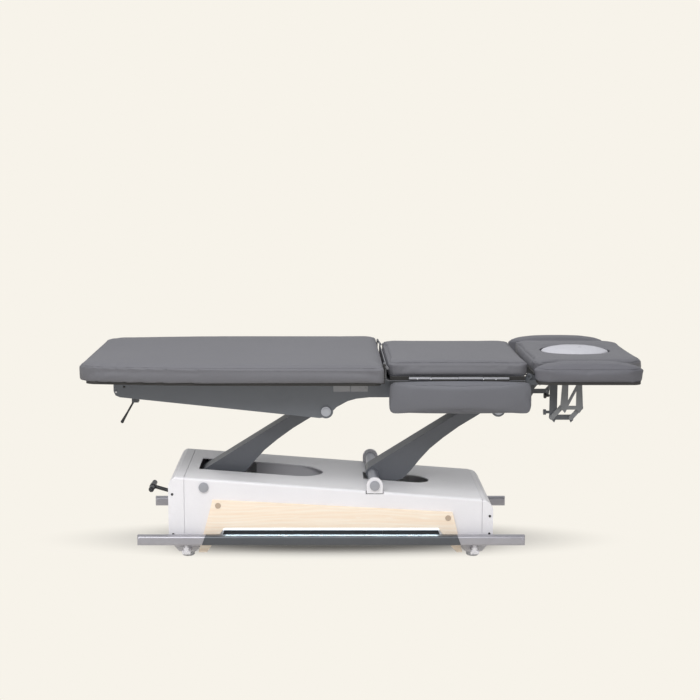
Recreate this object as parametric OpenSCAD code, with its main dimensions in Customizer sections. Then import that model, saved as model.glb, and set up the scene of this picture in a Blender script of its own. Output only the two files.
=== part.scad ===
// Height-adjustable chiropractic table: a white base with oak side panels, a
// parallelogram lift, and a leg, mid and head section with folding side wings
// and drop-down arm rests. X runs along the table with the head end at +X, the
// near side is -Y and the floor is Z = 0.

/* [Base casing] */
// Width of the casing across the table
casing_w = 480; // [400:5:560]
// X of the seam between the casing and the foot end cap
casing_foot_x = -646; // [-700:1:-640]
// X of the seam between the casing and the head end cap
casing_head_x = 433; // [425:1:500]
// Length of the foot end cap
foot_cap_len = 59; // [50:1:90]
// Length of the head end cap
head_cap_len = 41; // [35:1:70]
// Height of the casing top at X = 0
casing_top_z = 250; // [246:1:251]
// Fall of the casing top towards the head end, in degrees
casing_fall = 4.28; // [3.9:0.01:4.6]
// Radius of the bent edge between top and sides
casing_bend_r = 10; // [4:1:16]
// Sheet thickness of casing and caps
casing_t = 4; // [2:0.5:4]
// Height of the casing's lower edge over the floor
casing_low_z = 50.3; // [50.3:0.1:54]
// Radius between the top and the end of an end cap
cap_round_r = 42; // [20:1:42]
// Width of the slot for the foot-side lift arm
foot_slot_w = 184; // [130:1:184]
// X of the foot end of that slot
foot_slot_x0 = -606; // [-612:1:-604]
// X of the rounded head end of that slot
foot_slot_x1 = -144; // [-160:1:-130]
// Width of the slot for the head-side lift arm
head_slot_w = 116; // [108:1:130]
// X of the foot end of that slot
head_slot_x0 = 8; // [0:1:12]
// X of the rounded head end of that slot
head_slot_x1 = 257; // [240:1:280]

/* [Side panels and lights] */
// Thickness of an oak side panel
panel_t = 10; // [6:1:14]
// X of the panel's upper foot corner
panel_top_x0 = -544; // [-560:1:-520]
// X of the panel's upper head corner
panel_top_x1 = 326; // [300:1:340]
// Height of the upper foot corner
panel_top_z0 = 217; // [200:1:225]
// Height of the upper head corner
panel_top_z1 = 171; // [160:1:180]
// X spread of a panel foot outside its upper corner
panel_splay = 52; // [30:1:52]
// X spread at the head end
panel_splay_head = 37; // [25:1:50]
// Height of the panel feet over the floor
panel_foot_z = 22; // [15:1:30]
// Width of a panel foot at the floor end
panel_foot_w = 30; // [20:1:40]
// Height of the long notch between the feet
notch_z = 113; // [110:1:130]
// X of the foot end of the notch at its top
notch_x0 = -502; // [-510:1:-480]
// X of the head end of the notch at its top
notch_x1 = 274; // [250:1:280]
// Height of the light strip that closes the notch's top
light_h = 8; // [6:1:14]
// Diameter of a screw cover on the panel
cover_d = 21; // [14:1:26]

/* [Foot control bars] */
// Length of a bar
bar_len = 1400; // [1300:10:1450]
// X of a bar's foot end
bar_x0 = -814.4; // [-830:0.1:-800]
// Distance between the two bars' centre lines
bar_gauge = 553.2; // [553:0.2:580]
// Height of a bar's centre over the floor
bar_z = 76.6; // [74:0.1:80]
// Height of a bar's section
bar_h = 35; // [28:1:36]
// Width of a bar's section
bar_w = 35; // [28:1:38]
// Corner radius of the section
bar_r = 9; // [4:1:12]
// Travel of a pressed bar
bar_travel = 8; // [4:1:10]

/* [Feet and castors] */
// X of the foot-side beam
foot_beam_x = -637.6; // [-645:0.1:-635]
// X of the head-side beam
head_beam_x = 405; // [395:1:415]
// Length of a beam across the table
beam_len = 464; // [440:1:468]
// Width of a beam at its top
beam_w = 102; // [80:1:106]
// Width of a beam at its underside
beam_low_w = 52; // [40:1:70]
// Diameter of a levelling foot
foot_d = 46; // [36:1:52]
// Distance between the feet across the table
foot_gauge = 406; // [380:1:420]
// Height of a levelling foot's pad
foot_h = 14; // [8:1:16]
// Diameter of a castor wheel
wheel_d = 54; // [40:1:56]
// Width of a castor wheel
wheel_w = 22; // [16:1:28]
// Length of a castor arm between its shaft and its wheel axle
castor_arm_len = 72; // [66:1:78]
// Half length of the pedal's cross bar
pedal_half_w = 66; // [40:1:90]
// Reach of the pedal outside its shaft
pedal_reach = 146; // [130:1:160]

/* [Lift] */
// X of the foot-side lower pivot
lift_x0 = -576; // [-580:1:-572]
// Height of the foot-side lower pivot
lift_z0 = 262; // [258:1:262]
// X of the head-side lower pivot
lift_x1 = 43.5; // [41:0.5:46]
// Height of the head-side lower pivot
lift_z1 = 268; // [266:1:272]
// Length of a lift arm between its pivots
lift_len = 523.3; // [515:0.1:530]
// Angle of the arms over the floor in the position shown
lift_angle = 32.2; // [31:0.1:33]
// Width of a lift arm across the table
arm_w = 100; // [80:1:100]
// Sheet thickness of a lift arm
arm_t = 6; // [3:1:8]
// Outer diameter of an arm's hub tubes
hub_d = 52; // [46:1:52]
// Diameter of the pivot axles
axle_d = 24; // [18:1:28]
// Diameter of the round caps on the axle ends
axle_cap_d = 36; // [30:1:40]
// Distance of the actuator's crank pin from the arm's lower pivot
crank_r = 85; // [80:1:88]
// X of the actuator's mounting pin in the base
ram_x = -380; // [-390:1:-360]
// Height of the actuator's mounting pin
ram_z = 120; // [115:1:125]
// Diameter of the actuator's housing tube
ram_d = 62; // [60:1:66]
// Diameter of the actuator's rod
ram_rod_d = 18; // [14:1:18]

/* [Upper frame] */
// Distance between the outer faces of the side rails
rail_gauge = 470; // [440:1:480]
// Thickness of a side rail
rail_t = 8; // [5:1:10]
// X of the rails' foot end
rail_x0 = -895; // [-910:1:-880]
// X of the rails' head end
rail_x1 = 590; // [580:1:596]
// Height of the rails' top edge
rail_top_z = 659.7; // [659:0.1:659.7]
// Height of the lower edge at the foot end
rail_low_z = 592; // [580:1:600]
// Height of the lower edge over the slender middle
rail_waist_z = 592; // [585:1:600]
// Height of the lower edge where it meets the foot-side lug
rail_deep_z = 516; // [512:0.5:520]
// Radius of the rails' pivot lugs
lug_r = 26; // [22:1:28]
// Length of the release lever
release_len = 100; // [80:1:120]

/* [Leg section] */
// X of the leg cushion's foot end
leg_x0 = -1009; // [-1040:1:-980]
// X of its head end
leg_x1 = 68; // [60:1:68]
// Width of its broad part
leg_w = 800; // [700:5:820]
// How much each side draws in towards the foot end
leg_taper = 50; // [20:1:70]
// X where the sides start to draw in
leg_taper_x = -459; // [-500:1:-400]
// Thickness of the boards under the cushions
board_t = 12; // [9:1:15]
// Height of the cushions' top seam
pad_seam_z = 727; // [722:1:728]
// Rise of a large cushion over its seam
pad_crown = 12; // [6:1:14]

/* [Mid section] */
// X of the mid tray's upright end plate
tray_x0 = 77.6; // [77:0.1:79]
// Width of the mid tray
tray_w = 570; // [560:1:572]
// Height of the end plate's top edge
tray_top_z = 718; // [700:1:720]
// Sheet thickness of the tray
tray_t = 2.5; // [1.5:0.5:3]
// X of the mid cushion's foot end
mid_x0 = 82; // [81.5:0.5:86]
// X of its head end
mid_x1 = 589; // [584:1:590]
// Width of the mid cushion
mid_w = 552; // [540:1:560]
// X of the wings' foot end
wing_x0 = 89; // [80:1:100]
// X of the wings' head end
wing_x1 = 590; // [570:1:591]
// Height of a hanging wing's lower edge
wing_low_z = 548; // [540:1:560]
// Thickness of a wing cushion
wing_pad_t = 38; // [30:1:42]

/* [Head section] */
// X of the head cushion's foot end
head_x0 = 603; // [602:1:606]
// X of its head end
head_x1 = 1009; // [1000:1:1020]
// Width of the head cushion
head_w = 520; // [500:1:522]
// Length of the oval face opening
face_len = 250; // [220:1:260]
// Width of the oval face opening
face_w = 210; // [150:1:220]
// X of the face opening's centre
face_x = 797; // [790:1:805]
// X of an arm rest's foot end
rest_x0 = 594; // [593:1:600]
// X of an arm rest's head end
rest_x1 = 978; // [960:1:985]
// Width of an arm rest
rest_w = 129; // [100:1:131]
// Height of an arm rest's seam
rest_seam_z = 722; // [715:1:724]
// Length of an arm-rest link between its pivots
link_len = 50; // [46:0.1:51]
// Angle of the links over the floor in the position shown
link_angle = 49; // [45:1:52]
// Distance between the two links
link_pitch = 68; // [60:1:75]
// X of the foot-side fixed link pivot
link_x = 673.27; // [670:0.01:676]
// Height of the fixed link pivots
link_z = 525.51; // [520:0.01:530]

/* [Hidden] */
// Flats of a bar with eyes are a little narrower than its eyes, and eyes stand a little proud.
tongue_gap = 0.1;
tongue_t = 2;
tongue_reach = 12;
tongue_lap = 8;
flank_share = 0.94;
eye_proud = 1.2;
$fn = 64;
e = 0.1;
fit = 0.05;
seat = 0.3;
cut = 20;
screw_d = 9;

// Casing, worked out from the sizes above.
half_w = casing_w / 2;
inner_w = half_w - casing_t;
cap_foot_x = casing_foot_x - foot_cap_len;
cap_head_x = casing_head_x + head_cap_len;
seam = 2;
function top_z(x) = casing_top_z - x * tan(casing_fall);
foot_slot_r = foot_slot_w / 2;
slot_oval = 1.2;
notch_lap = 1;
head_slot_r = head_slot_w / 2;

// Chassis rails, cross tubes and uprights inside the base.
chassis_rail_y0 = 185;
chassis_rail_y1 = 215;
chassis_rail_z0 = 50;
chassis_rail_h = 45;
chassis_wall = 3;
chassis_over = 42;
chassis_x0 = foot_beam_x - chassis_over;
chassis_x1 = head_beam_x + chassis_over;
cross_h = 30;
cross_w = 40;
chassis_rail_z1 = chassis_rail_z0 + chassis_rail_h;
upright_t = 8;
upright_y = 203;
hub_r = hub_d / 2;
axle_r = axle_d / 2;
ear_w = 59;
ear_t = 12;
ear_gap = 3;
ear_low_z = 236;
ear_inner_y = half_w - ear_t;
sleeve_r = 19;
cap_r = axle_cap_d / 2;
cap_t = 6;

// Lift arm, in its own frame: u along the link, v across it.
link_dx = lift_len * cos(lift_angle);
link_dz = lift_len * sin(lift_angle);
top_x0 = lift_x0 + link_dx;
top_pz0 = lift_z0 + link_dz;
top_x1 = lift_x1 + link_dx;
top_pz1 = lift_z1 + link_dz;
belly_v = 76;
belly_shares = [[0.06, 0.92], [0.17, 1], [0.245, 0.86], [0.34, 0.63], [0.44, 0.435], [0.56, 0.32],
    [0.7, 0.25], [0.85, 0.26]];
rib_shares = [0.3, 0.68];
neck_v = 18;

// Actuator, aimed from its mounting pin at the crank pin.
crank_angle = -113.8;
crank_x = lift_x1 + crank_r * cos(crank_angle + lift_angle);
crank_z = lift_z1 + crank_r * sin(crank_angle + lift_angle);
ram_aim = atan2(crank_z - ram_z, crank_x - ram_x);
ram_reach = norm([crank_x - ram_x, crank_z - ram_z]);
ram_pin_r = 8;
crank_plate_w = 34;
crank_plate_t = 8;
crank_plate_y = 14;

// Foot bars and their brackets.
bar_y = bar_gauge / 2;
bar_x1 = bar_x0 + bar_len;
bar_low_z = bar_z - bar_h / 2;
post_r = 7;
post_plate_t = 10;
post_plate_z = 26;
bar_cut_x0 = -575;
bar_cut_x1 = 348;
bar_cut_lean = 13;

// Castors and pedal.
castor_foot_x = -470;
castor_head_x = 300;
castor_z = 92;
castor_drop = 43;
castor_lean = asin(castor_drop / castor_arm_len);
castor_y = 120;
shaft_r = 9;
crank_h = 31;
rod_y = 148;
rod_t = 6;
pedal_x = -649;
pedal_z = 166;
pedal_lean = 16.2;
pedal_rod_r = 7;

// Upper frame.
rail_y1 = rail_gauge / 2;
rail_y0 = rail_y1 - rail_t;
leg_board_z = rail_top_z + seat;
pad_z0 = leg_board_z + board_t;
gas_ahead = 113.187;
gas_span = 320;
gas_share = 0.5397;
gas_drop = 19.7;
gas_x0 = top_x0 + gas_ahead;
gas_z0 = top_pz0 + gas_share * (rail_top_z - top_pz0);
gas_x1 = gas_x0 - gas_span;
gas_z1 = rail_top_z - gas_drop;
gas_tube_r = 12;
gas_rod_r = 4;
leg_hinge_x = 73;
leg_hinge_z = 722;
release_x = -821;
release_z = 583;
release_y = 200;
release_lean = 30;

// Mid section and wings.
tray_y = tray_w / 2;
tray_z0 = rail_top_z + seat;
mid_pad_z0 = 676;
wing_axis_y = 292;
wing_axis_z = 669.5;
knuckle_r = 5.5;
hinge_pin_r = 2.5;
wing_board_t = 10;
hinge_x0 = 160;
hinge_x1 = 515.5;
hinge_shares = [0, 0.2222, 0.4951, 0.7426, 1];
hinge_cuts = [for (s = hinge_shares) hinge_x0 + s * (hinge_x1 - hinge_x0)];

// Head section and arm rests.
head_hinge_x = 594;
head_hinge_z = 668;
head_board_z = 664;
rest_gap = 9;
hanger_side = max(head_w / 2, rail_y1);
rest_y0 = hanger_side + rest_gap;
rest_y1 = rest_y0 + rest_w;
rest_board_z = 663;
rest_board_t = 9;
link_w = 18;
link_t = 2.8;
hanger_t = 6;
hanger_gap = 1.2;
hanger_y = hanger_side + hanger_gap;
link_gap = 2;
link_y = hanger_y + hanger_t + link_gap;
head_link_y = link_y + link_t + link_t / 7;
carrier_y = head_link_y + link_t + link_gap;
carrier_t = 10;
link_dx2 = link_len * cos(link_angle);
link_dz2 = link_len * sin(link_angle);
plug_gap = 1.2;

// Small parts of the base.
oval_n = 48;
service_r = 34;
cover_back = 88;
cover_x = casing_head_x - cover_back;
cover_y = -10;
pedal_slot_w = 20;
pedal_slot_z0 = 142;
pedal_slot_z1 = 200;
inlet_y = -150;
inlet_z = 92;
inlet_w = 27;
inlet_h = 20;
inlet_t = 2;
foot_out_x0 = panel_top_x0 - panel_splay;
foot_in_x0 = foot_out_x0 + panel_foot_w;
foot_out_x1 = panel_top_x1 + panel_splay_head;
foot_in_x1 = foot_out_x1 - panel_foot_w * 2 / 3;
knee_z = 2 * panel_foot_z;
knee_x0 = foot_in_x0 + panel_foot_w / 2;
knee_x1 = foot_in_x1 - panel_foot_w * 2 / 3;
cover_in = 20;
cover_out = 16;
cover_drop = 21;
cover_places = [[panel_top_x0 + cover_in, panel_top_z0 - cover_drop],
    [panel_top_x1 - cover_out, panel_top_z1 - cover_drop]];
cover_t = 2;
screw_in = 14.5;
screw_rake = 2;
screw_out = 12;
screw_lean = 1;
screw_top_drop = 14;
screw_low_rise = 36.3;
screw_head_z = 155;
screw_head_rise = 38.9;
screw_x0 = casing_foot_x - foot_cap_len + screw_in;
screw_x1 = casing_head_x + head_cap_len - screw_out;
screw_places = [[screw_x0, casing_top_z - screw_top_drop],
    [screw_x0 + screw_rake, casing_low_z + screw_low_rise], [screw_x1, screw_head_z],
    [screw_x1 - screw_lean, casing_low_z + screw_head_rise]];
screw_head = 2;
cap_rise = 1.5;
upright_half = 26;
cross_foot_x = -625;
cross_mid_x = -130;
cross_head_x = 120;
low_cross_z = 60;
block_half = 14;
block_t = 16;
pedal_tube_w = 24;
pedal_block_y = 60;
pedal_block_t = 10;
pedal_block_in = 28;
beam_z0 = 19;
beam_z1 = chassis_rail_z0;
beam_bevel = 6;
post_plate_w = 30;
post_plate_in = 12;
post_in = 16;
post_gap = 2;
post_collar_r = 11;
stem_r = 6;
foot_sole = 2;
trough_x0 = -400;
trough_z0 = 172;
trough_z1 = 228;
trough_t = 2.5;
trough_bend = 12;
box_x0 = 330;
box_x1 = 425;
box_y0 = 130;
box_y1 = 60;
box_z1 = 196;
box_slot = 3;
box_slots = 6;
box_pitch = 13;
bar_end_r = 14.5;

// Castor gear details.
rod_w = 18;
rod_gap = 1;
pin_over = 2;
crank_w = 22;
crank_t = 7;
crank_pin_r = 5;
pedal_r = 8;
pedal_hub_r = 14;
grip_r = 10;
grip_len = 40;
castor_gap = 1.5;
castor_plate_t = 5;
castor_plate_w = 24;
wheel_pin_r = 5;
tread_r = 6;

// Actuator details.
ram_lug_y0 = 33;
ram_lug_t = 8;
ram_eye_r = 18;
ram_wall = 4;
ram_tube_len = 300;
ram_head = 34;
ram_bore_u = 124;
ram_rod_in = 96;

// Upper frame details.
rail_nose_r = 22;
rail_step = 42;
flange_w = 26;
flange_t = 4;
flange_x1 = 572;
tube_end_x = -850;
tube_foot_x = -600;
tube_mid_x = -420;
tube_seat_x = 175;
tube_head_x = 545;
upper_places = [tube_end_x, tube_foot_x, tube_mid_x, tube_seat_x, tube_head_x];
upper_tube_h = 32;
upper_tube_w = 40;
plate_back = 87;
plate_x0 = gas_x0 - plate_back;
plate_w = 61;
plate_h = 24;
plate_t = 2;
plate_z = 625;
rivet_in = 7.6;
rivet_x = plate_x0 + 2 * plate_w + plate_t - rivet_in;
rivet_pitch = 20;
rivet_places = [rivet_x - rivet_pitch, rivet_x];
rivet_r = 3.5;
release_r = 8;
release_half = 12;
release_gap = 11;
release_plate = 6;
lever_r = 3.5;
lever_end_r = 5.5;
lever_bulb = 0.5;
lever_share = 0.38;

// Cushions and boards.
pad_tuck = 7;
pad_soft = 9;
mid_seam_z = 727;
mid_crown = 6;
mid_r = 18;
mid_board_y = 276;
leg_board_in = 14;
leg_board_back = 34;
leg_spine_x0 = leg_x0 + leg_w / 2;
leg_spine_out = 60;
leg_spine_x1 = leg_x1 - leg_w / 2 + leg_spine_out;
leg_r0 = 72;
leg_r1 = 26;
function leg_half(x) = leg_w / 2 - leg_taper * pow(max(leg_taper_x - x, 0) / (leg_taper_x - leg_x0), 2);
leg_foot_half = leg_half(leg_x0 + leg_r0);
leg_side_n = 8;
leg_edge = [for (i = [1:leg_side_n - 1])
    let (x = leg_x1 - leg_r1 + (leg_x0 + leg_r0 - leg_x1 + leg_r1) * i / leg_side_n) [x, leg_half(x)]];
leg_plan = concat(corner(leg_x1 - leg_r1, leg_w / 2 - leg_r1, leg_r1, 0, 4), leg_edge,
    corner(leg_x0 + leg_r0, leg_foot_half - leg_r0, leg_r0, 90, 6),
    corner(leg_x0 + leg_r0, -leg_foot_half + leg_r0, leg_r0, 180, 6),
    [for (i = [leg_side_n - 2:-1:0]) [leg_edge[i][0], -leg_edge[i][1]]],
    corner(leg_x1 - leg_r1, -leg_w / 2 + leg_r1, leg_r1, 270, 4));

// Leg hinge straps and gas spring.
strap_y0 = 300;
strap_w = 22;
strap_t = 4;
strap_r = 4;
strap_x0 = leg_hinge_x - strap_t;
strap_foot = 44;
ear_drop = 14;
gas_aim = atan2(gas_z1 - gas_z0, gas_x1 - gas_x0);
gas_reach = norm([gas_x1 - gas_x0, gas_z1 - gas_z0]);
gas_tube_len = 210;
gas_rod_in = 60;
gas_bore_u = 40;
gas_wall = 2;
gas_eye_r = 11;
gas_head_r = 9;
gas_pin_r = 5;
gas_lug_y0 = 14;
gas_lug_t = 6;
gas_lug_r = 12;
gas_base_gap = 2;

// Tray, wings and their hinges.
tray_bend_r = 12;
tray_x1 = 573;
leaf_t = 2.6;
knuckle_gap = 0.5;
wing_board_z1 = 659;
wing_in = 7;
wing_r = 23;
wing_pad_h = 116;
wing_mid_z = wing_low_z + wing_pad_h / 2;
wing_tuck = 5;
wing_soft = 7;
wing_crown = 5;

// Head frame and cushion.
plug_lip = 12;
head_bar_x0 = 618;
head_bar_x1 = 970;
head_bar_y1 = 226;
head_bar_w = 30;
head_bar_z0 = 643;
head_lug_r = 10;
head_pin_r = 5;
head_board_x0 = 616;
head_board_x1 = 995;
head_r = 45;
head_foot_r = 25;
head_spine = 40;
plug_top_z = 726;

// Arm-rest hangers, links and knobs.
bearer_lap = 42;
bearer_x0 = rail_x1 - bearer_lap;
bearer_z0 = 643;
hanger_top_z = 658;
hanger_tip = 19;
link_pin_r = 4;
link_head = 1.2;
knob_back = 29.27;
knob_w = 9;
knob_in = 3.2;
knob_x0 = link_x - knob_back;
knob_x1 = knob_x0 + knob_w;
knob_r = 10;
knob_y = hanger_y - knob_in;
knob_z = 603;
knob_low_z = 543;
rest_in = 12;
rest_r = 45;
rest_crown = 8;
post_w = 20;

// Building blocks.
module slab(x0, x1, y0, y1, z0, z1) translate([x0, y0, z0]) cube([x1 - x0, y1 - y0, z1 - z0]);
module along_y(y0, y1) translate([0, y1, 0]) rotate([90, 0, 0]) linear_extrude(y1 - y0) children();
module pin_y(x, z, r, y0, y1) translate([x, y1, z]) rotate([90, 0, 0]) cylinder(r = r, h = y1 - y0);
module pin_x(y, z, r, x0, x1) translate([x0, y, z]) rotate([0, 90, 0]) cylinder(r = r, h = x1 - x0);
module pin_z(x, y, r, z0, z1) translate([x, y, z0]) cylinder(r = r, h = z1 - z0);
module both_sides() { children(); mirror([0, 1, 0]) children(); }
module far_copy() mirror([0, 1, 0]) children();
module rounded(w, h, r) {
    square([w, h - 2 * r], center = true);
    square([w - 2 * r, h], center = true);
    for (a = [-1, 1], b = [-1, 1]) translate([a * (w / 2 - r), b * (h / 2 - r)]) circle(r);
}
module tube(w, h, t, len) linear_extrude(len) difference() {
    square([w, h], center = true);
    square([w - 2 * t, h - 2 * t], center = true);
}
// A straight bar with round ends between two points of the XZ plane.
module bar_2d(p, q, w) {
    d = q - p;
    translate(p) rotate(atan2(d[1], d[0])) translate([0, -w * flank_share / 2])
        square([norm(d), w * flank_share]);
    translate(p) circle(w / 2);
    translate(q) circle(w / 2);
}
module from_to(p, q) {
    d = q - p;
    translate([p[0], 0, p[1]]) rotate([0, 90 - atan2(d[1], d[0]), 0]) children();
}

// A cushion over a plan of points: flat underside, sides drawn in below the
// top seam, and a crown that rises over the seam towards a spine line.
function on_spine(p, xa, xb) = [min(max(p[0], xa), xb), 0];
function drawn(p, s, d) = let (v = p - s, n = norm(v)) s + v * max(n - d, 0) / max(n, e);
module cushion(plan, xa, xb, z0, seam_z, tuck, soft, rise) {
    n = len(plan);
    spine = [for (p = plan) on_spine(p, xa, xb)];
    side = [[tuck + soft, z0], [tuck, z0 + soft], [tuck, (z0 + seam_z) / 2],
        [soft / 3, seam_z - soft], [0, seam_z]];
    top_shares = [0.03, 0.09, 0.2, 0.4, 0.65, 0.9];
    low = [for (r = side) for (i = [0:n - 1])
        let (q = drawn(plan[i], spine[i], r[0])) [q[0], q[1], r[1]]];
    up = [for (k = top_shares) for (i = [0:n - 1])
        let (q = plan[i] + (spine[i] - plan[i]) * k)
        [q[0], q[1], seam_z + rise * (1 - pow(1 - k, 2.6))]];
    rings = len(side) + len(top_shares);
    mid_x = (xa + xb) / 2;
    pts = concat(low, up, [[mid_x, 0, z0], [mid_x, 0, seam_z + rise]]);
    walls = [for (r = [0:rings - 2], i = [0:n - 1]) let (a = r * n + i, b = r * n + (i + 1) % n)
        each [[a, b + n, b], [a, a + n, b + n]]];
    floor_fan = [for (i = [0:n - 1]) [rings * n, i, (i + 1) % n]];
    top_fan = [for (i = [0:n - 1]) let (k = (rings - 1) * n) [rings * n + 1, k + (i + 1) % n, k + i]];
    polyhedron(pts, concat(walls, floor_fan, top_fan));
}
// Plan of a rectangle with rounded corners, in order round the outline.
function corner(cx, cy, r, a0, n) = [for (i = [0:n]) let (a = a0 + 90 * i / n)
    [cx + r * cos(a), cy + r * sin(a)]];
function oblong(x0, x1, w, r0, r1, n) = concat(
    corner(x1 - r1, w / 2 - r1, r1, 0, n), corner(x0 + r0, w / 2 - r0, r0, 90, n),
    corner(x0 + r0, -w / 2 + r0, r0, 180, n), corner(x1 - r1, -w / 2 + r1, r1, 270, n));

// Casing: a bent sheet shell on a falling top, cut square at its two seams.
module casing_bar(inset, x0, x1) {
    w = casing_w - 2 * inset;
    r = casing_bend_r - inset;
    deep = casing_w;
    intersection() {
        translate([0, 0, casing_top_z - inset / cos(casing_fall)]) rotate([0, casing_fall, 0])
            translate([2 * cap_foot_x, 0, 0]) rotate([90, 0, 90]) linear_extrude(-4 * cap_foot_x)
            union() {
                translate([-w / 2, -deep]) square([w, deep - r]);
                translate([-w / 2 + r, -deep]) square([w - 2 * r, deep]);
                for (s = [-1, 1]) translate([s * (w / 2 - r), -r]) circle(r);
            }
        slab(x0, x1, -casing_w, casing_w, casing_low_z - (inset > 0 ? cut : 0), casing_w);
    }
}
// Side view of an end cap, rounded where the top runs into the end.
module cap_side(x_seam, x_end, inset) {
    way = sign(x_end - x_seam);
    xe = x_end - way * inset;
    r = cap_round_r - inset;
    zc = top_z(x_end) - cap_round_r;
    xm = xe - way * r;
    xs = x_seam - way * cut;
    low = casing_low_z - (inset > 0 ? cut : 0);
    difference() {
        translate([min(xe, xs), low]) square([abs(xe - xs), casing_w]);
        difference() {
            translate([min(xm, xe + way * cut), zc]) square([r + cut, casing_w]);
            translate([xm, zc]) circle(r);
        }
    }
}
module end_cap(x_seam, x_end) {
    x0 = min(x_seam, x_end);
    x1 = max(x_seam, x_end);
    difference() {
        intersection() {
            casing_bar(0, x0, x1);
            along_y(-half_w, half_w) cap_side(x_seam, x_end, 0);
        }
        intersection() {
            casing_bar(casing_t, x0 - cut, x1 + cut);
            along_y(-inner_w, inner_w) cap_side(x_seam, x_end, casing_t);
        }
        children();
    }
}
module notch_2d() {
    z = notch_z - light_h - notch_lap;
    polygon([[notch_x0, z], [notch_x1, z], [notch_x1 + 2 * cut, 0], [notch_x0 - 2 * cut, 0]]);
}
module foot_slot_2d() {
    translate([foot_slot_x0, -foot_slot_r])
        square([foot_slot_x1 - slot_oval * foot_slot_r - foot_slot_x0, foot_slot_w]);
    polygon(oval(foot_slot_x1 - slot_oval * foot_slot_r, 2 * slot_oval * foot_slot_r, foot_slot_w));
}
module head_slot_2d() {
    translate([head_slot_x0, -head_slot_r])
        square([head_slot_x1 - head_slot_r - head_slot_x0, head_slot_w]);
    translate([head_slot_x1 - head_slot_r, 0]) circle(head_slot_r);
}
// Tongue behind a cap's seam, set in by the sheet and lapped under the casing.
module tongue_ring(inset, xa, xb) intersection() {
    casing_bar(inset, min(xa, xb), max(xa, xb));
    slab(min(xa, xb), max(xa, xb), -casing_w, casing_w, casing_low_z, casing_w);
}
module tongue(x_seam, x_end, way) difference() {
    union() {
        intersection() {
            tongue_ring(casing_t + tongue_gap, x_seam + way * tongue_reach, x_seam - way * tongue_t);
            along_y(-half_w, half_w) cap_side(x_seam, x_end, casing_t + tongue_gap);
        }
        tongue_ring(casing_t - e, x_seam - way * tongue_t / 2, x_seam - way * tongue_lap);
    }
    casing_bar(casing_t + tongue_gap + tongue_t, x_seam - 2 * cut, x_seam + 2 * cut);
    slab(casing_foot_x, casing_foot_x + cut, -casing_w, casing_w, chassis_rail_z1 - seat,
        chassis_rail_z1 + cross_h + seat);
}
module base_casing() {
    color("#e9e7ea") {
        tongue(casing_foot_x, cap_foot_x, -1);
        tongue(casing_head_x, cap_head_x, 1);
    }
    color("#e9e7ea") difference() {
        casing_bar(0, casing_foot_x, casing_head_x);
        casing_bar(casing_t, casing_foot_x - cut, casing_head_x + cut);
        translate([0, 0, casing_top_z - 3 * cut]) linear_extrude(6 * cut) {
            foot_slot_2d();
            head_slot_2d();
        }
        along_y(-half_w - cut, half_w + cut) notch_2d();
        both_sides() slab(lift_x1 - ear_w / 2 - ear_gap, lift_x1 + ear_w / 2 + ear_gap,
            -half_w - cut, -ear_inner_y + ear_gap, ear_low_z, lift_z1 + 2 * ear_w);
        both_sides() pin_y(lift_x0, lift_z0, axle_r + seat, -half_w - cut, -inner_w + cut);
        translate([cover_x, cover_y, 0]) cylinder(r = service_r + seat, h = 2 * casing_top_z);
    }
}
module service_cap() {
    color("#dcdadd") difference() {
        translate([cover_x, cover_y, top_z(cover_x) - casing_t]) rotate([0, casing_fall, 0]) {
            translate([0, 0, -casing_t - seat]) cylinder(r = service_r, h = 2 * casing_t + seat);
            translate([0, 0, -casing_t - seat]) cylinder(r = service_r + casing_t, h = casing_t);
        }
        translate([cover_x, cover_y, top_z(cover_x)])
            cube([service_r, casing_t / 2, casing_t], center = true);
    }
}
module foot_end_cap() {
    color("#e9e7ea") end_cap(casing_foot_x - seam, cap_foot_x)
        slab(cap_foot_x - cut, cap_foot_x + cut, -pedal_slot_w / 2, pedal_slot_w / 2,
            pedal_slot_z0, pedal_slot_z1);
}
module head_end_cap() {
    color("#e9e7ea") {
        end_cap(casing_head_x + seam, cap_head_x)
            slab(cap_head_x - cut, cap_head_x + cut, inlet_y - inlet_w / 2, inlet_y + inlet_w / 2,
                inlet_z - inlet_h / 2, inlet_z + inlet_h / 2);
        difference() {
            slab(cap_head_x - cut, cap_head_x - casing_t / 2, inlet_y - inlet_w / 2 - inlet_t,
                inlet_y + inlet_w / 2 + inlet_t, inlet_z - inlet_h / 2 - inlet_t,
                inlet_z + inlet_h / 2 + inlet_t);
            slab(cap_head_x - cut + inlet_t, cap_head_x + cut, inlet_y - inlet_w / 2,
                inlet_y + inlet_w / 2, inlet_z - inlet_h / 2, inlet_z + inlet_h / 2);
        }
    }
}

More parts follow.
